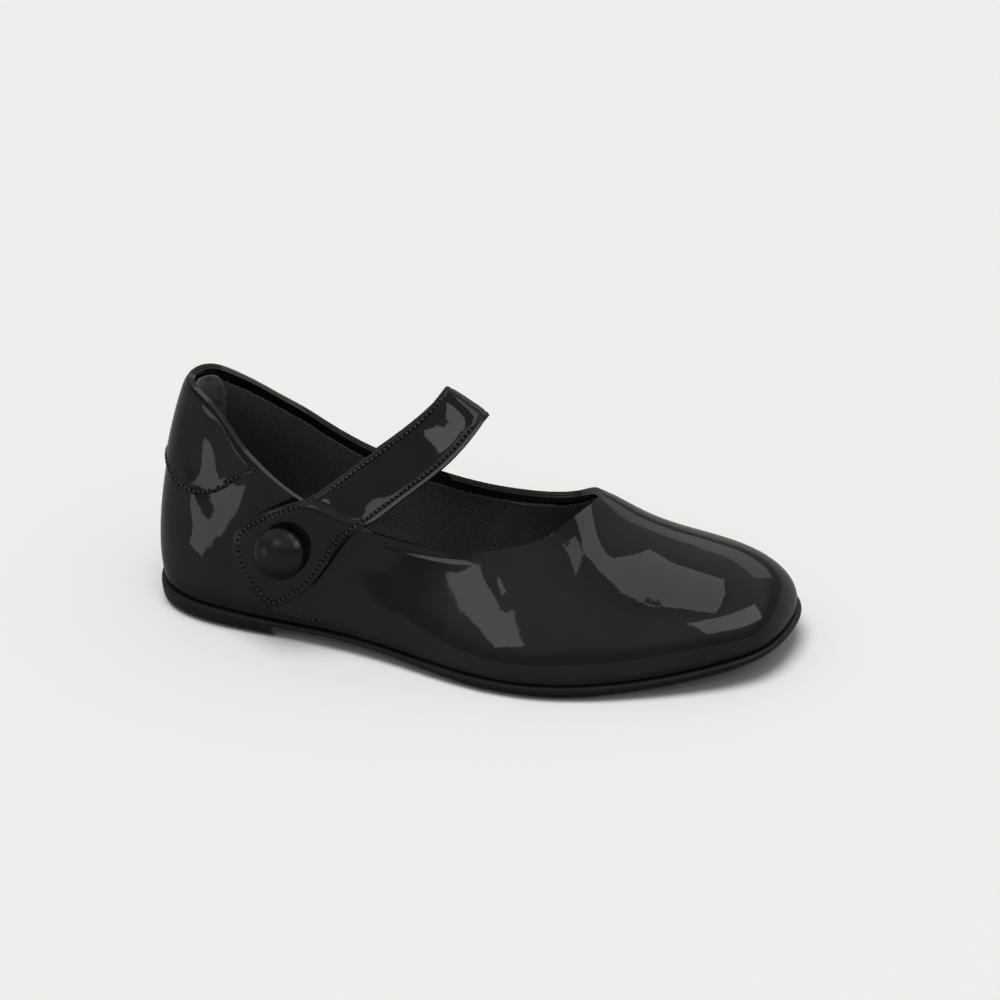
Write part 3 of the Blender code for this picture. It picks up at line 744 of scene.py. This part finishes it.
def makeLinings():
    sizes = insideSizes
    columns = roundTheShoe(np.linspace(0, float(turnAt((sizes["seamX"] + sizes["lap"]) / length)), 150))
    points = bandGrid(columns, 26, lambda t, side, whole: liningEnds(t, whole, 1.03 if side > 0 else 1.0))
    quarter = layWall("quarterLining", offsetGrid(points, -liningIn), sizes["liningThick"], angle=50)
    hand(quarter, quarterCloth, "footbed_cloth")
    # the vamp lining laps over it by a few millimetres, from a leaning seam forward
    columns, rows = 120, 26
    for side, word in ((-1, "Lateral"), (1, "Medial")):
        points = np.zeros((columns, rows, 3))
        for i, j in np.ndindex(columns, rows):
            s, up = i / (columns - 1), j / (rows - 1)
            start = sizes["seamX"] - sizes["seamHalf"] + 2 * sizes["seamHalf"] * up * sizes["seamLean"]
            t = float(turnAt(start / length)) * (1 - s) + float(turnAt(.975)) * s
            points[i, j] = liningPoint(t, side, up)
        points = offsetGrid(points[::side], -liningIn - sizes["liningThick"] - .05)
        piece = layWall("vampLining" + word, points, sizes["liningThick"], angle=50)
        hand(piece, vampCloth, "footbed_cloth")


def makeHeelGrip():
    sizes = {"reach": 9.6, "down": 2.0, "bottom": 9.0, "thick": .4, "cutRound": 5.0}
    turns = np.linspace(0, float(turnAt(sizes["reach"] / length)), 60)
    depth = upperSizes["leather"] + insideSizes["facingThick"] + insideSizes["liningThick"] + .18

    def ends(t, side, whole):
        # its front edge is cut round at the top
        s = t / turns[-1]
        return sizes["down"] + sizes["cutRound"] * max(0.0, (s - .75) / .25) ** 2, whole - sizes["bottom"]
    points = offsetGrid(bandGrid(roundTheShoe(turns), 40, ends), -depth)
    piece = layWall("heelGrip", points, sizes["thick"], rim=.18, above=1)
    hand(piece, suede, "footbed_cloth")


makeFacing()
makeLinings()
makeHeelGrip()

# heel panel
panelSizes = {"thick": .6, "columns": 96, "rows": 18, "blend": 2.4, "topGap": .35, "skived": .14,
              "stitchIn": .85, "channel": .1, "channelWide": .45}
# height of its stitched lower edge, dipping at the back: x, z
panelEdge = ((0, 38.5), (3, 37.1), (6, 35.5), (9, 34.5), (14, 34.3), (17.5, 35.3), (21, 37.3),
             (25, 40.6), (29, 43.7), (33, 46.1))
panelEdgeAt = curveThrough(panelEdge)


def panelDown(t, side):
    # distance down the rib from the topline to the panel's lower edge
    rib = upperRib(t, side)
    above = rib[:, 2] >= panelEdgeAt(rib[:, 0])
    return ribLength(rib[above]) if above.sum() > 2 else 0.0


def panelTurns(side):
    turns = np.linspace(0, float(turnAt(.215)), 200)
    reaching = [t for t in turns if panelDown(t, side) > .9]
    return np.linspace(0, reaching[-1], panelSizes["columns"])


def makeHeelPanel():
    sizes = panelSizes
    columns = roundTheShoe(panelTurns(-1), panelTurns(1))
    points = bandGrid(columns, sizes["rows"], lambda t, side, whole: (sizes["topGap"], panelDown(t, side)))
    fromTop = runAlong(points[:, ::-1])[:, ::-1]
    blend = eased((fromTop + sizes["topGap"]) / sizes["blend"])
    lift = sizes["skived"] + (sizes["thick"] - sizes["skived"]) * blend
    sunk = bending(points.reshape(-1, 3), creases).reshape(lift.shape)
    # the thread pulls a shallow channel just above the lower edge
    offRow = (runAlong(points) - sizes["stitchIn"]) / sizes["channelWide"]
    sunk += sizes["channel"] * np.exp(-offRow ** 2)
    points = offsetGrid(points, (lift - sunk)[:, :, None])
    piece = layWall("heelPanel", points, sizes["thick"] - .08, rim=.22, above=5)
    hand(piece, patent, "patent_leather", "heel_panel")


makeHeelPanel()

# strap with its paddle
strapSizes = {
    "thick": 2.6, "gap": .3, "hold": 4.5, "along": 250, "layer": 1.34, "edge": .52, "setBack": .45,
    "rise": {-1: 1.5, 1: .35}, "riseReach": 11.0, "soft": 4.8,
    "stitchIn": 1.45, "channel": .2, "channelWide": .38,
    "crown": .16, "crownReach": 5.0, "roll": .45, "rollReach": 1.2}
# outer face from the paddle's tip over the instep and down into the medial side of the sole:
# side it lies on (0 where it is free), rear edge x y z, front edge x y z
strapStations = (
    (-1, 37.4, 0, 10.5, 39.8, 0, 10.5),
    (-1, 34.9, 0, 12.3, 43.2, 0, 12.4),
    (-1, 31.4, 0, 15.6, 47.0, 0, 15.0),
    (-1, 28.3, 0, 20.2, 50.0, 0, 18.2),
    (-1, 27.0, 0, 25.1, 52.4, 0, 22.0),
    (-1, 28.9, 0, 29.9, 54.6, 0, 25.8),
    (-1, 34.4, 0, 34.2, 57.1, 0, 29.7),
    (0, 45.8, -25.0, 41.3, 62.0, -25.5, 35.9),
    (0, 52.6, -14.0, 44.7, 66.6, -16.9, 38.4),
    (0, 58.6, -3.4, 47.9, 71.4, -9.0, 41.3),
    (0, 65.0, 5.6, 51.8, 76.8, -1.2, 44.8),
    (0, 69.8, 12.7, 56.2, 81.8, 7.5, 49.9),
    (0, 72.3, 18.4, 60.6, 85.1, 15.2, 55.0),
    (0, 70.9, 22.3, 57.0, 83.9, 21.0, 52.0),
    (0, 65.6, 22.6, 49.6, 78.6, 22.3, 44.9),
    (0, 57.2, 22.2, 41.0, 71.0, 22.6, 36.8),
    (1, 48.6, 0, 32.2, 62.8, 0, 28.0),
    (1, 39.4, 0, 23.6, 53.8, 0, 19.0),
    (1, 30.6, 0, 14.0, 45.2, 0, 11.0),
    (1, 24.0, 0, 7.2, 39.2, 0, 6.8),
)


def strapEdges(steps):
    stations = []
    over = strapSizes["gap"] + strapSizes["thick"]
    for side, rx, ry, rz, fx, fy, fz in strapStations:
        if side:
            stations.append(np.r_[wallAt(rx, rz, side, over)[0], wallAt(fx, fz, side, over)[0]])
        else:
            stations.append(np.array([rx, ry, rz, fx, fy, fz], float))
    stations = np.array(stations)
    middle = (stations[:, :3] + stations[:, 3:]) / 2
    run = runAlong(middle)
    # closer together at the rounded tip
    places = run[-1] * np.linspace(0, 1, steps) ** 1.08
    table = [(r,) + tuple(row) for r, row in zip(run, stations)]
    lines = np.column_stack([curveThrough(table, k + 1)(places) for k in range(6)])
    return lines[:, :3], lines[:, 3:]


def strapFace(steps, shares):
    # outer face of the strap: it follows the wall up to the topline and arches softly over it
    sizes = strapSizes
    rear, front = strapEdges(steps)
    s = np.asarray(shares)[None, :, None]
    sheet = rear[:, None] * (1 - s) + front[:, None] * s
    freed = np.zeros(sheet.shape[:2])
    for side in (-1, 1):
        here = np.sign(sheet[:, :, 1]) == side
        p = sheet[here]
        below = toplineAt[side](p[:, 0] / length) - p[:, 2]
        free = eased(1 - below / sizes["riseReach"])
        hold = eased(below / sizes["hold"] + 1) * (np.abs(p[:, 1]) > 8)
        at, normal = wallAt(p[:, 0], p[:, 2], side)
        at = at + normal * (sizes["gap"] + sizes["thick"] + sizes["rise"][side] * free)[:, None]
        sheet[here] = p + (at - p) * hold[:, None]
        freed[here] = free
    # each pass averages a point with its neighbours along the run, where the strap is free
    span = np.linalg.norm(np.diff(sheet[:, sheet.shape[1] // 2], axis=0), axis=1).mean()
    share = np.clip(freed.mean(axis=1) * 1.7, 0, 1)[1:-1, None, None]
    for _ in range(round(2 * (sizes["soft"] / span) ** 2)):
        mean = (sheet[:-2] + 2 * sheet[1:-1] + sheet[2:]) / 4
        sheet[1:-1] += (mean - sheet[1:-1]) * share
    return sheet


def strapNormals(sheet):
    normal = outwardNormals(sheet)
    return normal if normal[len(sheet) // 2, sheet.shape[1] // 2, 2] > 0 else -normal


def strapShares():
    # closer together by the edges, where the stitching runs: millimetres in, of the strap's width
    near = np.array([0, .3, .6, .9, 1.15, 1.45, 1.75, 2.05, 2.5, 3.2]) / 20.5
    return np.r_[near, np.linspace(near[-1], 1 - near[-1], 15)[1:-1], 1 - near[::-1]]


def borderOf(sheet):
    # rear edge from the sole up to the tip, round it, and the front edge back to the sole
    return np.vstack([sheet[::-1, 0], sheet[0, 1:-1], sheet[:, -1]])


def makeStrap():
    sizes = strapSizes
    sheet = strapFace(sizes["along"], strapShares())
    border = borderOf(sheet)
    away = np.array([np.linalg.norm(border - p, axis=1).min() for p in sheet.reshape(-1, 3)])
    away = away.reshape(sheet.shape[:2])
    channel = sizes["channel"] * np.exp(-((away - sizes["stitchIn"]) / sizes["channelWide"]) ** 2)
    # crowned in the middle, and rolled down outside the stitching
    rolled = sizes["roll"] * np.clip(1 - away / sizes["rollReach"], 0, 1) ** 1.6
    crown = sizes["crown"] * eased(away / sizes["crownReach"]) - rolled
    upper = sheet + strapNormals(sheet) * (crown - channel - .08)[:, :, None]
    # the under layer stands back a little, so the top one throws a dark line along the edge
    under = strapFace(sizes["along"], .5 + (strapShares() - .5) * (1 - sizes["setBack"] / 10))[1:]
    under = under + strapNormals(under) * (sizes["layer"] - sizes["thick"] - .02)
    layers = []
    for name, points, deep in (("strapUpper", upper, sizes["layer"]),
                               ("strapUnder", under, sizes["layer"] - .14)):
        layers.append(layWall(name, points, deep, rim=sizes["edge"], above=-50, segments=4, merge=.01,
                              overInstep=True))
    hand(joined("strapBar", layers), patent, "patent_leather", "strap")


def makeStrapLining():
    # cloth glued under the free span, short of the edges
    sheet = strapFace(strapSizes["along"], np.linspace(.08, .92, 16))
    free = slice(int(strapSizes["along"] * .36), int(strapSizes["along"] * .76))
    points = (sheet - strapNormals(sheet) * (strapSizes["thick"] - .02))[free]
    piece = layWall("strapLining", points, .2, merge=.01, angle=50, overInstep=True)
    hand(piece, quarterCloth, "footbed_cloth")


makeStrap()
makeStrapLining()

# button
buttonSizes = {"x": 40.6, "z": 25.6, "radius": 7.0, "height": 5.2, "waist": 1.75, "lift": .35, "spokes": 96}


def makeButton():
    sizes = buttonSizes
    r, h, w = sizes["radius"], sizes["height"], sizes["waist"]
    profile = [(0.0, -.55), (r * .78, -.55), (r * .8, -.45), (r * .83, .3), (r * .85, .95), (r * .93, 1.1)]
    profile += [(r * math.cos(a), w + (h - w) * math.sin(a)) for a in np.radians(np.linspace(-10, 86, 26))]
    profile.append((0.0, h))
    mesh = bpy.data.meshes.new("buttonDome")
    mesh.from_pydata([(x * mm, 0, z * mm) for x, z in profile],
                     [(i, i + 1) for i in range(len(profile) - 1)], [])
    piece = linked("buttonDome", mesh)
    with editing(piece):
        bpy.ops.mesh.spin(steps=sizes["spokes"], angle=2 * math.pi, center=(0, 0, 0), axis=(0, 0, 1))
    mergeDoubles(piece, .004)
    # turn it onto the paddle and put it in its place
    at, normal = wallAt(sizes["x"], sizes["z"], -1)
    seat = at + normal * (strapSizes["thick"] + 2 * strapSizes["gap"] + sizes["lift"])
    across = unit(np.cross(normal, (0.0, 0.0, 1.0)))
    turned = Matrix(np.column_stack([across, np.cross(normal, across), normal]).tolist()).to_4x4()
    place = Matrix.Translation(Vector((seat + heelInFrame) * mm)) @ turned
    piece.data.transform(place)
    smooth(piece, 35)
    hand(piece, polishedAbs, "button_plastic", "button")


makeButton()

# sole unit and insole
soleSizes = {"turns": 420, "bottomRows": 76, "breast": (37.6, 38.4), "gap": .3, "side": 3.4}
# share of length: height of the underside ahead of the heel; below 0 the ground cuts it flat
soleUnderside = (
    (.22, 2.4), (.3, 2.4), (.4, 1.8), (.48, .8), (.55, .1), (.58, -.03), (.64, -.06), (.69, -.03),
    (.73, .2), (.78, .9), (.86, 2.3), (.93, 4.0), (1, 6.0))
# outset from the feather line, and height over the underside or from the top
soleProfile = (
    (-4.0, "low", 0.0), (-1.4, "low", 0.0), (-.45, "low", .25), (.4, "low", .9), (.9, "low", 1.7),
    (1.2, "high", -1.6), (1.25, "high", -.8), (1.13, "high", -.25), (.65, "high", 0.0),
    (-.2, "high", 0.0), (-1.0, "high", 0.0), (-3.0, "high", 0.0))
insoleProfile = ((-.4, 0.0), (0.0, .5), (0.0, 2.3), (-.6, 2.8), (-3.0, 2.2), (-6.5, 1.9))
undersideAt = curveThrough(soleUnderside)


def undersideZ(x):
    x = np.asarray(x, float)
    return np.where(x <= soleSizes["breast"][0] + 1e-6, 0.0, np.maximum(0.0, undersideAt(x / length)))


def outlineRing(turns, outset):
    # both halves of a ring round the feather line, pushed out in plan
    halves = []
    for side in (-1, 1):
        part = np.array([featherPoint(t, side) for t in turns])
        slope = np.gradient(part[:, :2], axis=0)
        slope[0], slope[-1] = (0.0, side), (0.0, -side)
        slope = unit(slope)
        part[:, :2] += np.column_stack([slope[:, 1], -slope[:, 0]]) * -side * outset
        halves.append(part)
    return np.array(halves)


def roundedRows(levels, times=2):
    # cut the corners of the profile, keeping its two ends
    for _ in range(times):
        cut = [levels[0]]
        for a, b in zip(levels[:-1], levels[1:]):
            cut += [a * .75 + b * .25, a * .25 + b * .75]
        levels = np.array(cut + [levels[-1]])
    return levels


def capBetween(name, ring, rows, reshape=None):
    s = np.linspace(0, 1, rows)[None, :, None]
    points = ring[0][:, None] * (1 - s) + ring[1][:, None] * s
    return layGrid(name, reshape(points) if reshape else points)


def ringSolid(name, levels, topRows, bottomRows, bottomShape=None):
    # levels: ring by ring, (2 halves, turns, 3); sides, underside and top joined into one skin
    sides = np.array([np.vstack([ring[0][::-1], ring[1][1:]]) for ring in levels])
    return joined(name, [layGrid(name, np.swapaxes(sides, 0, 1)),
                         capBetween(name + "Top", levels[-1], topRows),
                         capBetween(name + "Bottom", levels[0], bottomRows, bottomShape)])


def soleTurns():
    x = (1 - np.cos(np.linspace(0, math.pi, soleSizes["turns"]))) / 2 * length
    low, high = soleSizes["breast"]
    x = x[(x < low - .5) | (x > high + .5)]
    x = np.sort(np.r_[x, low - .35, low, low + .1, high - .1, high, high + .35])
    return turnAt(x / length)


treadSizes = {"forepart": (80, 158), "heel": (6, 33), "margin": 5.2, "pitch": 4.6, "slant": .55, "deep": .42,
              "rimIn": 3.2, "rimWide": .35, "rimDeep": .28}


def between(x, ends, fade=1.2):
    return np.clip((x - ends[0]) / fade, 0, 1) * np.clip((ends[1] - x) / fade, 0, 1)


def treadPattern(points):
    # plain slanted bars, moulded in under the tread and the heel; the waist is left smooth
    sizes = treadSizes
    x, y = points[:, :, 0], points[:, :, 1]
    middle = centreAt(np.clip(x / length, 0, 1)) * length
    span = np.abs(points[:, -1, 1] - points[:, 0, 1])[:, None]
    share = np.linspace(0, 1, points.shape[1])[None, :]
    fromEdge = np.minimum(share, 1 - share) * span
    barred = np.maximum(between(x, sizes["forepart"]), between(x, sizes["heel"]))
    field = np.clip((fromEdge - sizes["margin"]) / .7, 0, 1) * barred
    phase = (x + sizes["slant"] * np.abs(y - middle)) / sizes["pitch"]
    groove = eased((np.abs((phase % 1) - .5) - .31) / .09)
    # a fine line runs round the tread a little inside its edge
    rimLine = np.exp(-((fromEdge - sizes["rimIn"]) / sizes["rimWide"]) ** 2) * sizes["rimDeep"]
    rimLine = rimLine * np.clip(x / 4 - 1, 0, 1) * np.clip((166 - x) / 3, 0, 1)
    points[:, :, 2] += sizes["deep"] * groove * eased(field) + rimLine
    return points


def makeOutsole():
    turns = soleTurns()
    low = undersideZ((1 - np.cos(turns)) / 2 * length)
    levels = []
    for outset, base, lift in soleProfile:
        halves = outlineRing(turns, outset)
        for part in halves:
            high = part[:, 2] - soleSizes["gap"]
            share = (high - low) * lift / soleSizes["side"]
            if base == "low":
                part[:, 2] = np.minimum(low + lift, low + share)
            else:
                part[:, 2] = np.maximum(high + lift, high + share)
        levels.append(halves)
    piece = ringSolid("outsoleUnit", roundedRows(np.array(levels)), 10, soleSizes["bottomRows"], treadPattern)
    mergeDoubles(piece, .004)
    smooth(piece, 38)
    hand(piece, rubber, "sole_rubber", "outsole")


def makeInsole():
    turns = np.linspace(0, math.pi, 160)
    levels = []
    for outset, lift in insoleProfile:
        halves = outlineRing(turns, outset - insoleInset)
        halves[:, :, 2] += lift
        levels.append(halves)
    piece = ringSolid("insoleCover", roundedRows(np.array(levels)), 24, 6)
    mergeDoubles(piece, .004)
    smooth(piece, 50)
    hand(piece, insoleCloth, "footbed_cloth", "insole")


makeOutsole()
makeInsole()

# stitching
# the hole sizes are the radius and depth of a near-black disc, painted shade standing in for each needle hole
stitchSizes = {"long": 1.05, "thick": .32, "pitch": 1.5, "basePitch": 1.3, "panelLean": 14, "sides": 8,
               "holeShadeDisc": .42, "holeShadeDiscDeep": .1, "tipPasses": 40}


def stitchBlank():
    # one stitch, a short thread with tapered ends, lying along x
    sizes = stitchSizes
    bpy.ops.mesh.primitive_cylinder_add(vertices=sizes["sides"], radius=sizes["thick"] * mm,
                                        depth=sizes["long"] * .6 * mm, rotation=(0, math.pi / 2, 0))
    blank = bpy.context.object
    bpy.ops.object.transform_apply(location=False, rotation=True, scale=False)
    for end, step, shrink in ((-1, .12, .82), (-1, .08, .5), (1, .12, .82), (1, .08, .5)):
        with editing(blank, "DESELECT"):
            bpy.ops.mesh.select_mode(type="FACE")
        tip = max(blank.data.polygons, key=lambda face: face.center.x * end)
        tip.select = True
        bpy.ops.object.mode_set(mode="EDIT")
        bpy.ops.mesh.extrude_region_move(
            TRANSFORM_OT_translate={"value": (end * step * sizes["long"] * mm, 0, 0)})
        bpy.ops.transform.resize(value=(shrink, shrink, shrink))
        bpy.ops.object.mode_set(mode="OBJECT")
    smooth(blank, 70)
    # a near-black disc where the thread's end dips into the leather: painted shade standing in for the
    # needle's hole
    bpy.ops.mesh.primitive_cylinder_add(vertices=9, radius=sizes["holeShadeDisc"] * mm, depth=sizes["holeShadeDiscDeep"] * mm,
                                        location=(sizes["pitch"] / 2 * mm, 0, .03 * mm))
    holeShadeDisc = bpy.context.object
    bpy.ops.object.transform_apply(location=True, rotation=False, scale=False)
    holeShadeDisc.data.materials.append(paintedHoleShade)
    blank.data.materials.append(thread)
    return joined("stitchBlank", [blank, holeShadeDisc])


def placesAlong(line, normals, pitch, lean=0.0, start=0.6):
    # centres and axes of stitches set along a line
    run = runAlong(line)
    half = stitchSizes["long"] * .45
    found = []
    for k, place in enumerate(np.arange(start, run[-1] - start, pitch)):
        a, b = pointAt(line, run, place - half), pointAt(line, run, place + half)
        n = pointAt(normals, run, place)
        along = unit(b - a)
        n = unit(n - along * (n @ along))
        across = np.cross(n, along)
        swing = math.radians(lean) * (1 if k % 2 else -1) + math.radians(dice.normal(0, 2.0))
        along = along * math.cos(swing) + across * math.sin(swing)
        across = np.cross(n, along)
        centre = (a + b) / 2 - n * .04
        found.append((centre, along, across, n))
    return found


def sew(name, places, blank):
    copies = []
    for centre, along, across, n in places:
        copy = linked(name, blank.data.copy())
        place = Matrix(np.column_stack([along, across, n]).tolist()).to_4x4()
        copy.data.transform(Matrix.Translation(Vector((centre + heelInFrame) * mm)) @ place)
        copies.append(copy)
    hand(joined(name, copies), None, "patent_leather")


def sewStrap(blank):
    # one row that follows its border, all round the paddle
    sheet = strapFace(strapSizes["along"], strapShares())
    border, normals = borderOf(sheet), borderOf(strapNormals(sheet))
    inward = unit(np.cross(normals, np.gradient(border, axis=0)))
    middle = borderOf(np.repeat(sheet.mean(axis=1, keepdims=True), sheet.shape[1], axis=1))
    inward *= np.sign(((middle - border) * inward).sum(axis=1))[:, None]
    row = border + inward * strapSizes["stitchIn"] - normals * .05
    # the machine rounds the tip, where the border itself turns in a corner
    for _ in range(stitchSizes["tipPasses"]):
        row[1:-1] += (row[:-2] + row[2:] - 2 * row[1:-1]) / 4
    sew("strapStitches", placesAlong(row, normals, stitchSizes["pitch"]), blank)


def sewPanel(blank):
    # along its dipping edge from one side of the collar round to the other
    def besideEdge(t, side, whole):
        down = max(panelDown(t, side) - panelSizes["stitchIn"], .9)
        return down - .5, down + .5
    halves = []
    for side in (-1, 1):
        grid = bandGrid([(t, side) for t in panelTurns(side)], 3, besideEdge)
        out = np.cross(grid[:, 2] - grid[:, 0], np.gradient(grid[:, 1], axis=0)) * -side
        halves.append(np.hstack([grid[:, 1], out])[::side])
    both = np.vstack([halves[0], halves[1][1:]])
    line, normals = both[:, :3], unit(both[:, 3:])
    # outward is away from a point inside the heel
    inside = line.mean(axis=0) + np.array([14, 0, 0])
    normals *= np.sign((normals * (line - inside)).sum(axis=1))[:, None]
    line = line + normals * (panelSizes["thick"] + .04)
    places = placesAlong(line, normals, stitchSizes["pitch"], lean=stitchSizes["panelLean"], start=1.5)
    sew("panelStitches", places, blank)


def sewBase(blank):
    # end of the base under the paddle, sewn down close to the sole
    side, startX, startZ, endX, endZ = patchRidge[:5]
    along = np.linspace(0, 1, 40)
    line, normals = wallAt(startX + (endX - startX) * along, startZ + (endZ - startZ) * along, side)
    places = placesAlong(line + normals * .12, normals, stitchSizes["basePitch"], start=.3)
    sew("baseStitches", places, blank)


stitch = stitchBlank()
sewStrap(stitch)
sewPanel(stitch)
sewBase(stitch)
bpy.data.objects.remove(stitch)


def studio():
    sizes = {"floor": 12.0, "skySeen": .86, "ceilingPower": 2.02, "ceilingAngle": 40,
             "ceilingTowards": (.1, .1, -1.0)}
    # how bright the room is in the gloss, from straight down (0) to straight up (1): black cloths
    # hang behind the lamps and overhead
    roomAt = ((0, .04), (.2, .16), (.3, .3), (.55, .34), (.585, .17), (.66, .2), (.75, .44), (.9, .44),
              (.97, .24))
    bpy.ops.mesh.primitive_plane_add(size=sizes["floor"], location=(0, 0, 0))
    floor = bpy.context.object
    floor.name = "studioFloor"
    made, tree, shader = newMaterial("paintedPaper")
    # matt white background paper
    wire(tree, shader, {"Base Color": hexColour("#f1f0ee"), "Roughness": .9, "Specular IOR Level": .1})
    floor.data.materials.append(made)
    floor.visible_glossy = False
    world = bpy.data.worlds.new("studioWorld")
    bpy.context.scene.world = world
    world.use_nodes = True
    tree = world.node_tree
    room = tree.nodes["Background"]
    # the room is pale to look at, but dimmer in the gloss
    skyward = addNode(tree, "SeparateXYZ", None,
                      {"Vector": addNode(tree, "TexCoord").outputs["Generated"]})
    height = addNode(tree, "MapRange", {"From Min": -1.0}, {"Value": skyward.outputs["Z"]})
    flags = addNode(tree, "ValToRGB", None, {"Fac": height})
    stops = flags.color_ramp.elements
    for position, level in roomAt:
        stop = stops[0] if position == 0 else stops.new(position)
        stop.color = (level, level, level, 1.0)
    stops.remove(stops[-1])
    path = addNode(tree, "LightPath")
    seen = addNode(tree, "MapRange", {"To Max": sizes["skySeen"]},
                   {"Value": path.outputs["Is Camera Ray"], "To Min": flags})
    wire(tree, room, {"Color": (1.0, .998, .99, 1.0)}, {"Strength": seen})
    # softboxes that only draw the highlights: name, where each stands, its size, its roll, its power
    boxes = (
        ("topSoftbox", (.58, .175, 1.43), (1.18, .42), 2, 1.81),
        ("rearStrip", (.27, 1.14, .6), (.8, .4), 0, .45),
        ("sideStrip", (1.0, -.13, .777), (1.23, .43), -11, 2.3),
        ("keySoftbox", (-.35, -1.02, .715), (.26, .32), 38, .32),
        ("lowSoftbox", (-.857, -.898, .08), (.27, .2), -13, .18),
        ("barSoftbox", (.03, -.35, 1.5), (.2, .26), 0, .26),
        ("vampSoftbox", (.4, -.58, 1.52), (.41, .2), 22, .276),
    )
    for name, at, size, roll, power in boxes:
        lamp = bpy.data.lights.new(name, "AREA")
        lamp.shape = "RECTANGLE"
        lamp.size, lamp.size_y = size
        lamp.energy = power
        holder = linked(name, lamp)
        holder.location = at
        aim = (Vector((0, 0, .02)) - Vector(at)).to_track_quat("-Z", "Y")
        holder.rotation_euler = (aim @ Quaternion((0, 0, 1), math.radians(roll))).to_euler()
        holder.visible_diffuse = holder.visible_camera = False
    # one wide overhead light keeps the paper even and throws the soft shadow
    ceiling = bpy.data.lights.new("ceilingLight", "SUN")
    ceiling.energy = sizes["ceilingPower"]
    ceiling.angle = math.radians(sizes["ceilingAngle"])
    holder = linked("ceilingLight", ceiling)
    holder.rotation_euler = Vector(sizes["ceilingTowards"]).to_track_quat("-Z", "Y").to_euler()
    holder.visible_glossy = False
    bpy.context.scene.view_settings.view_transform = "Standard"


studio()
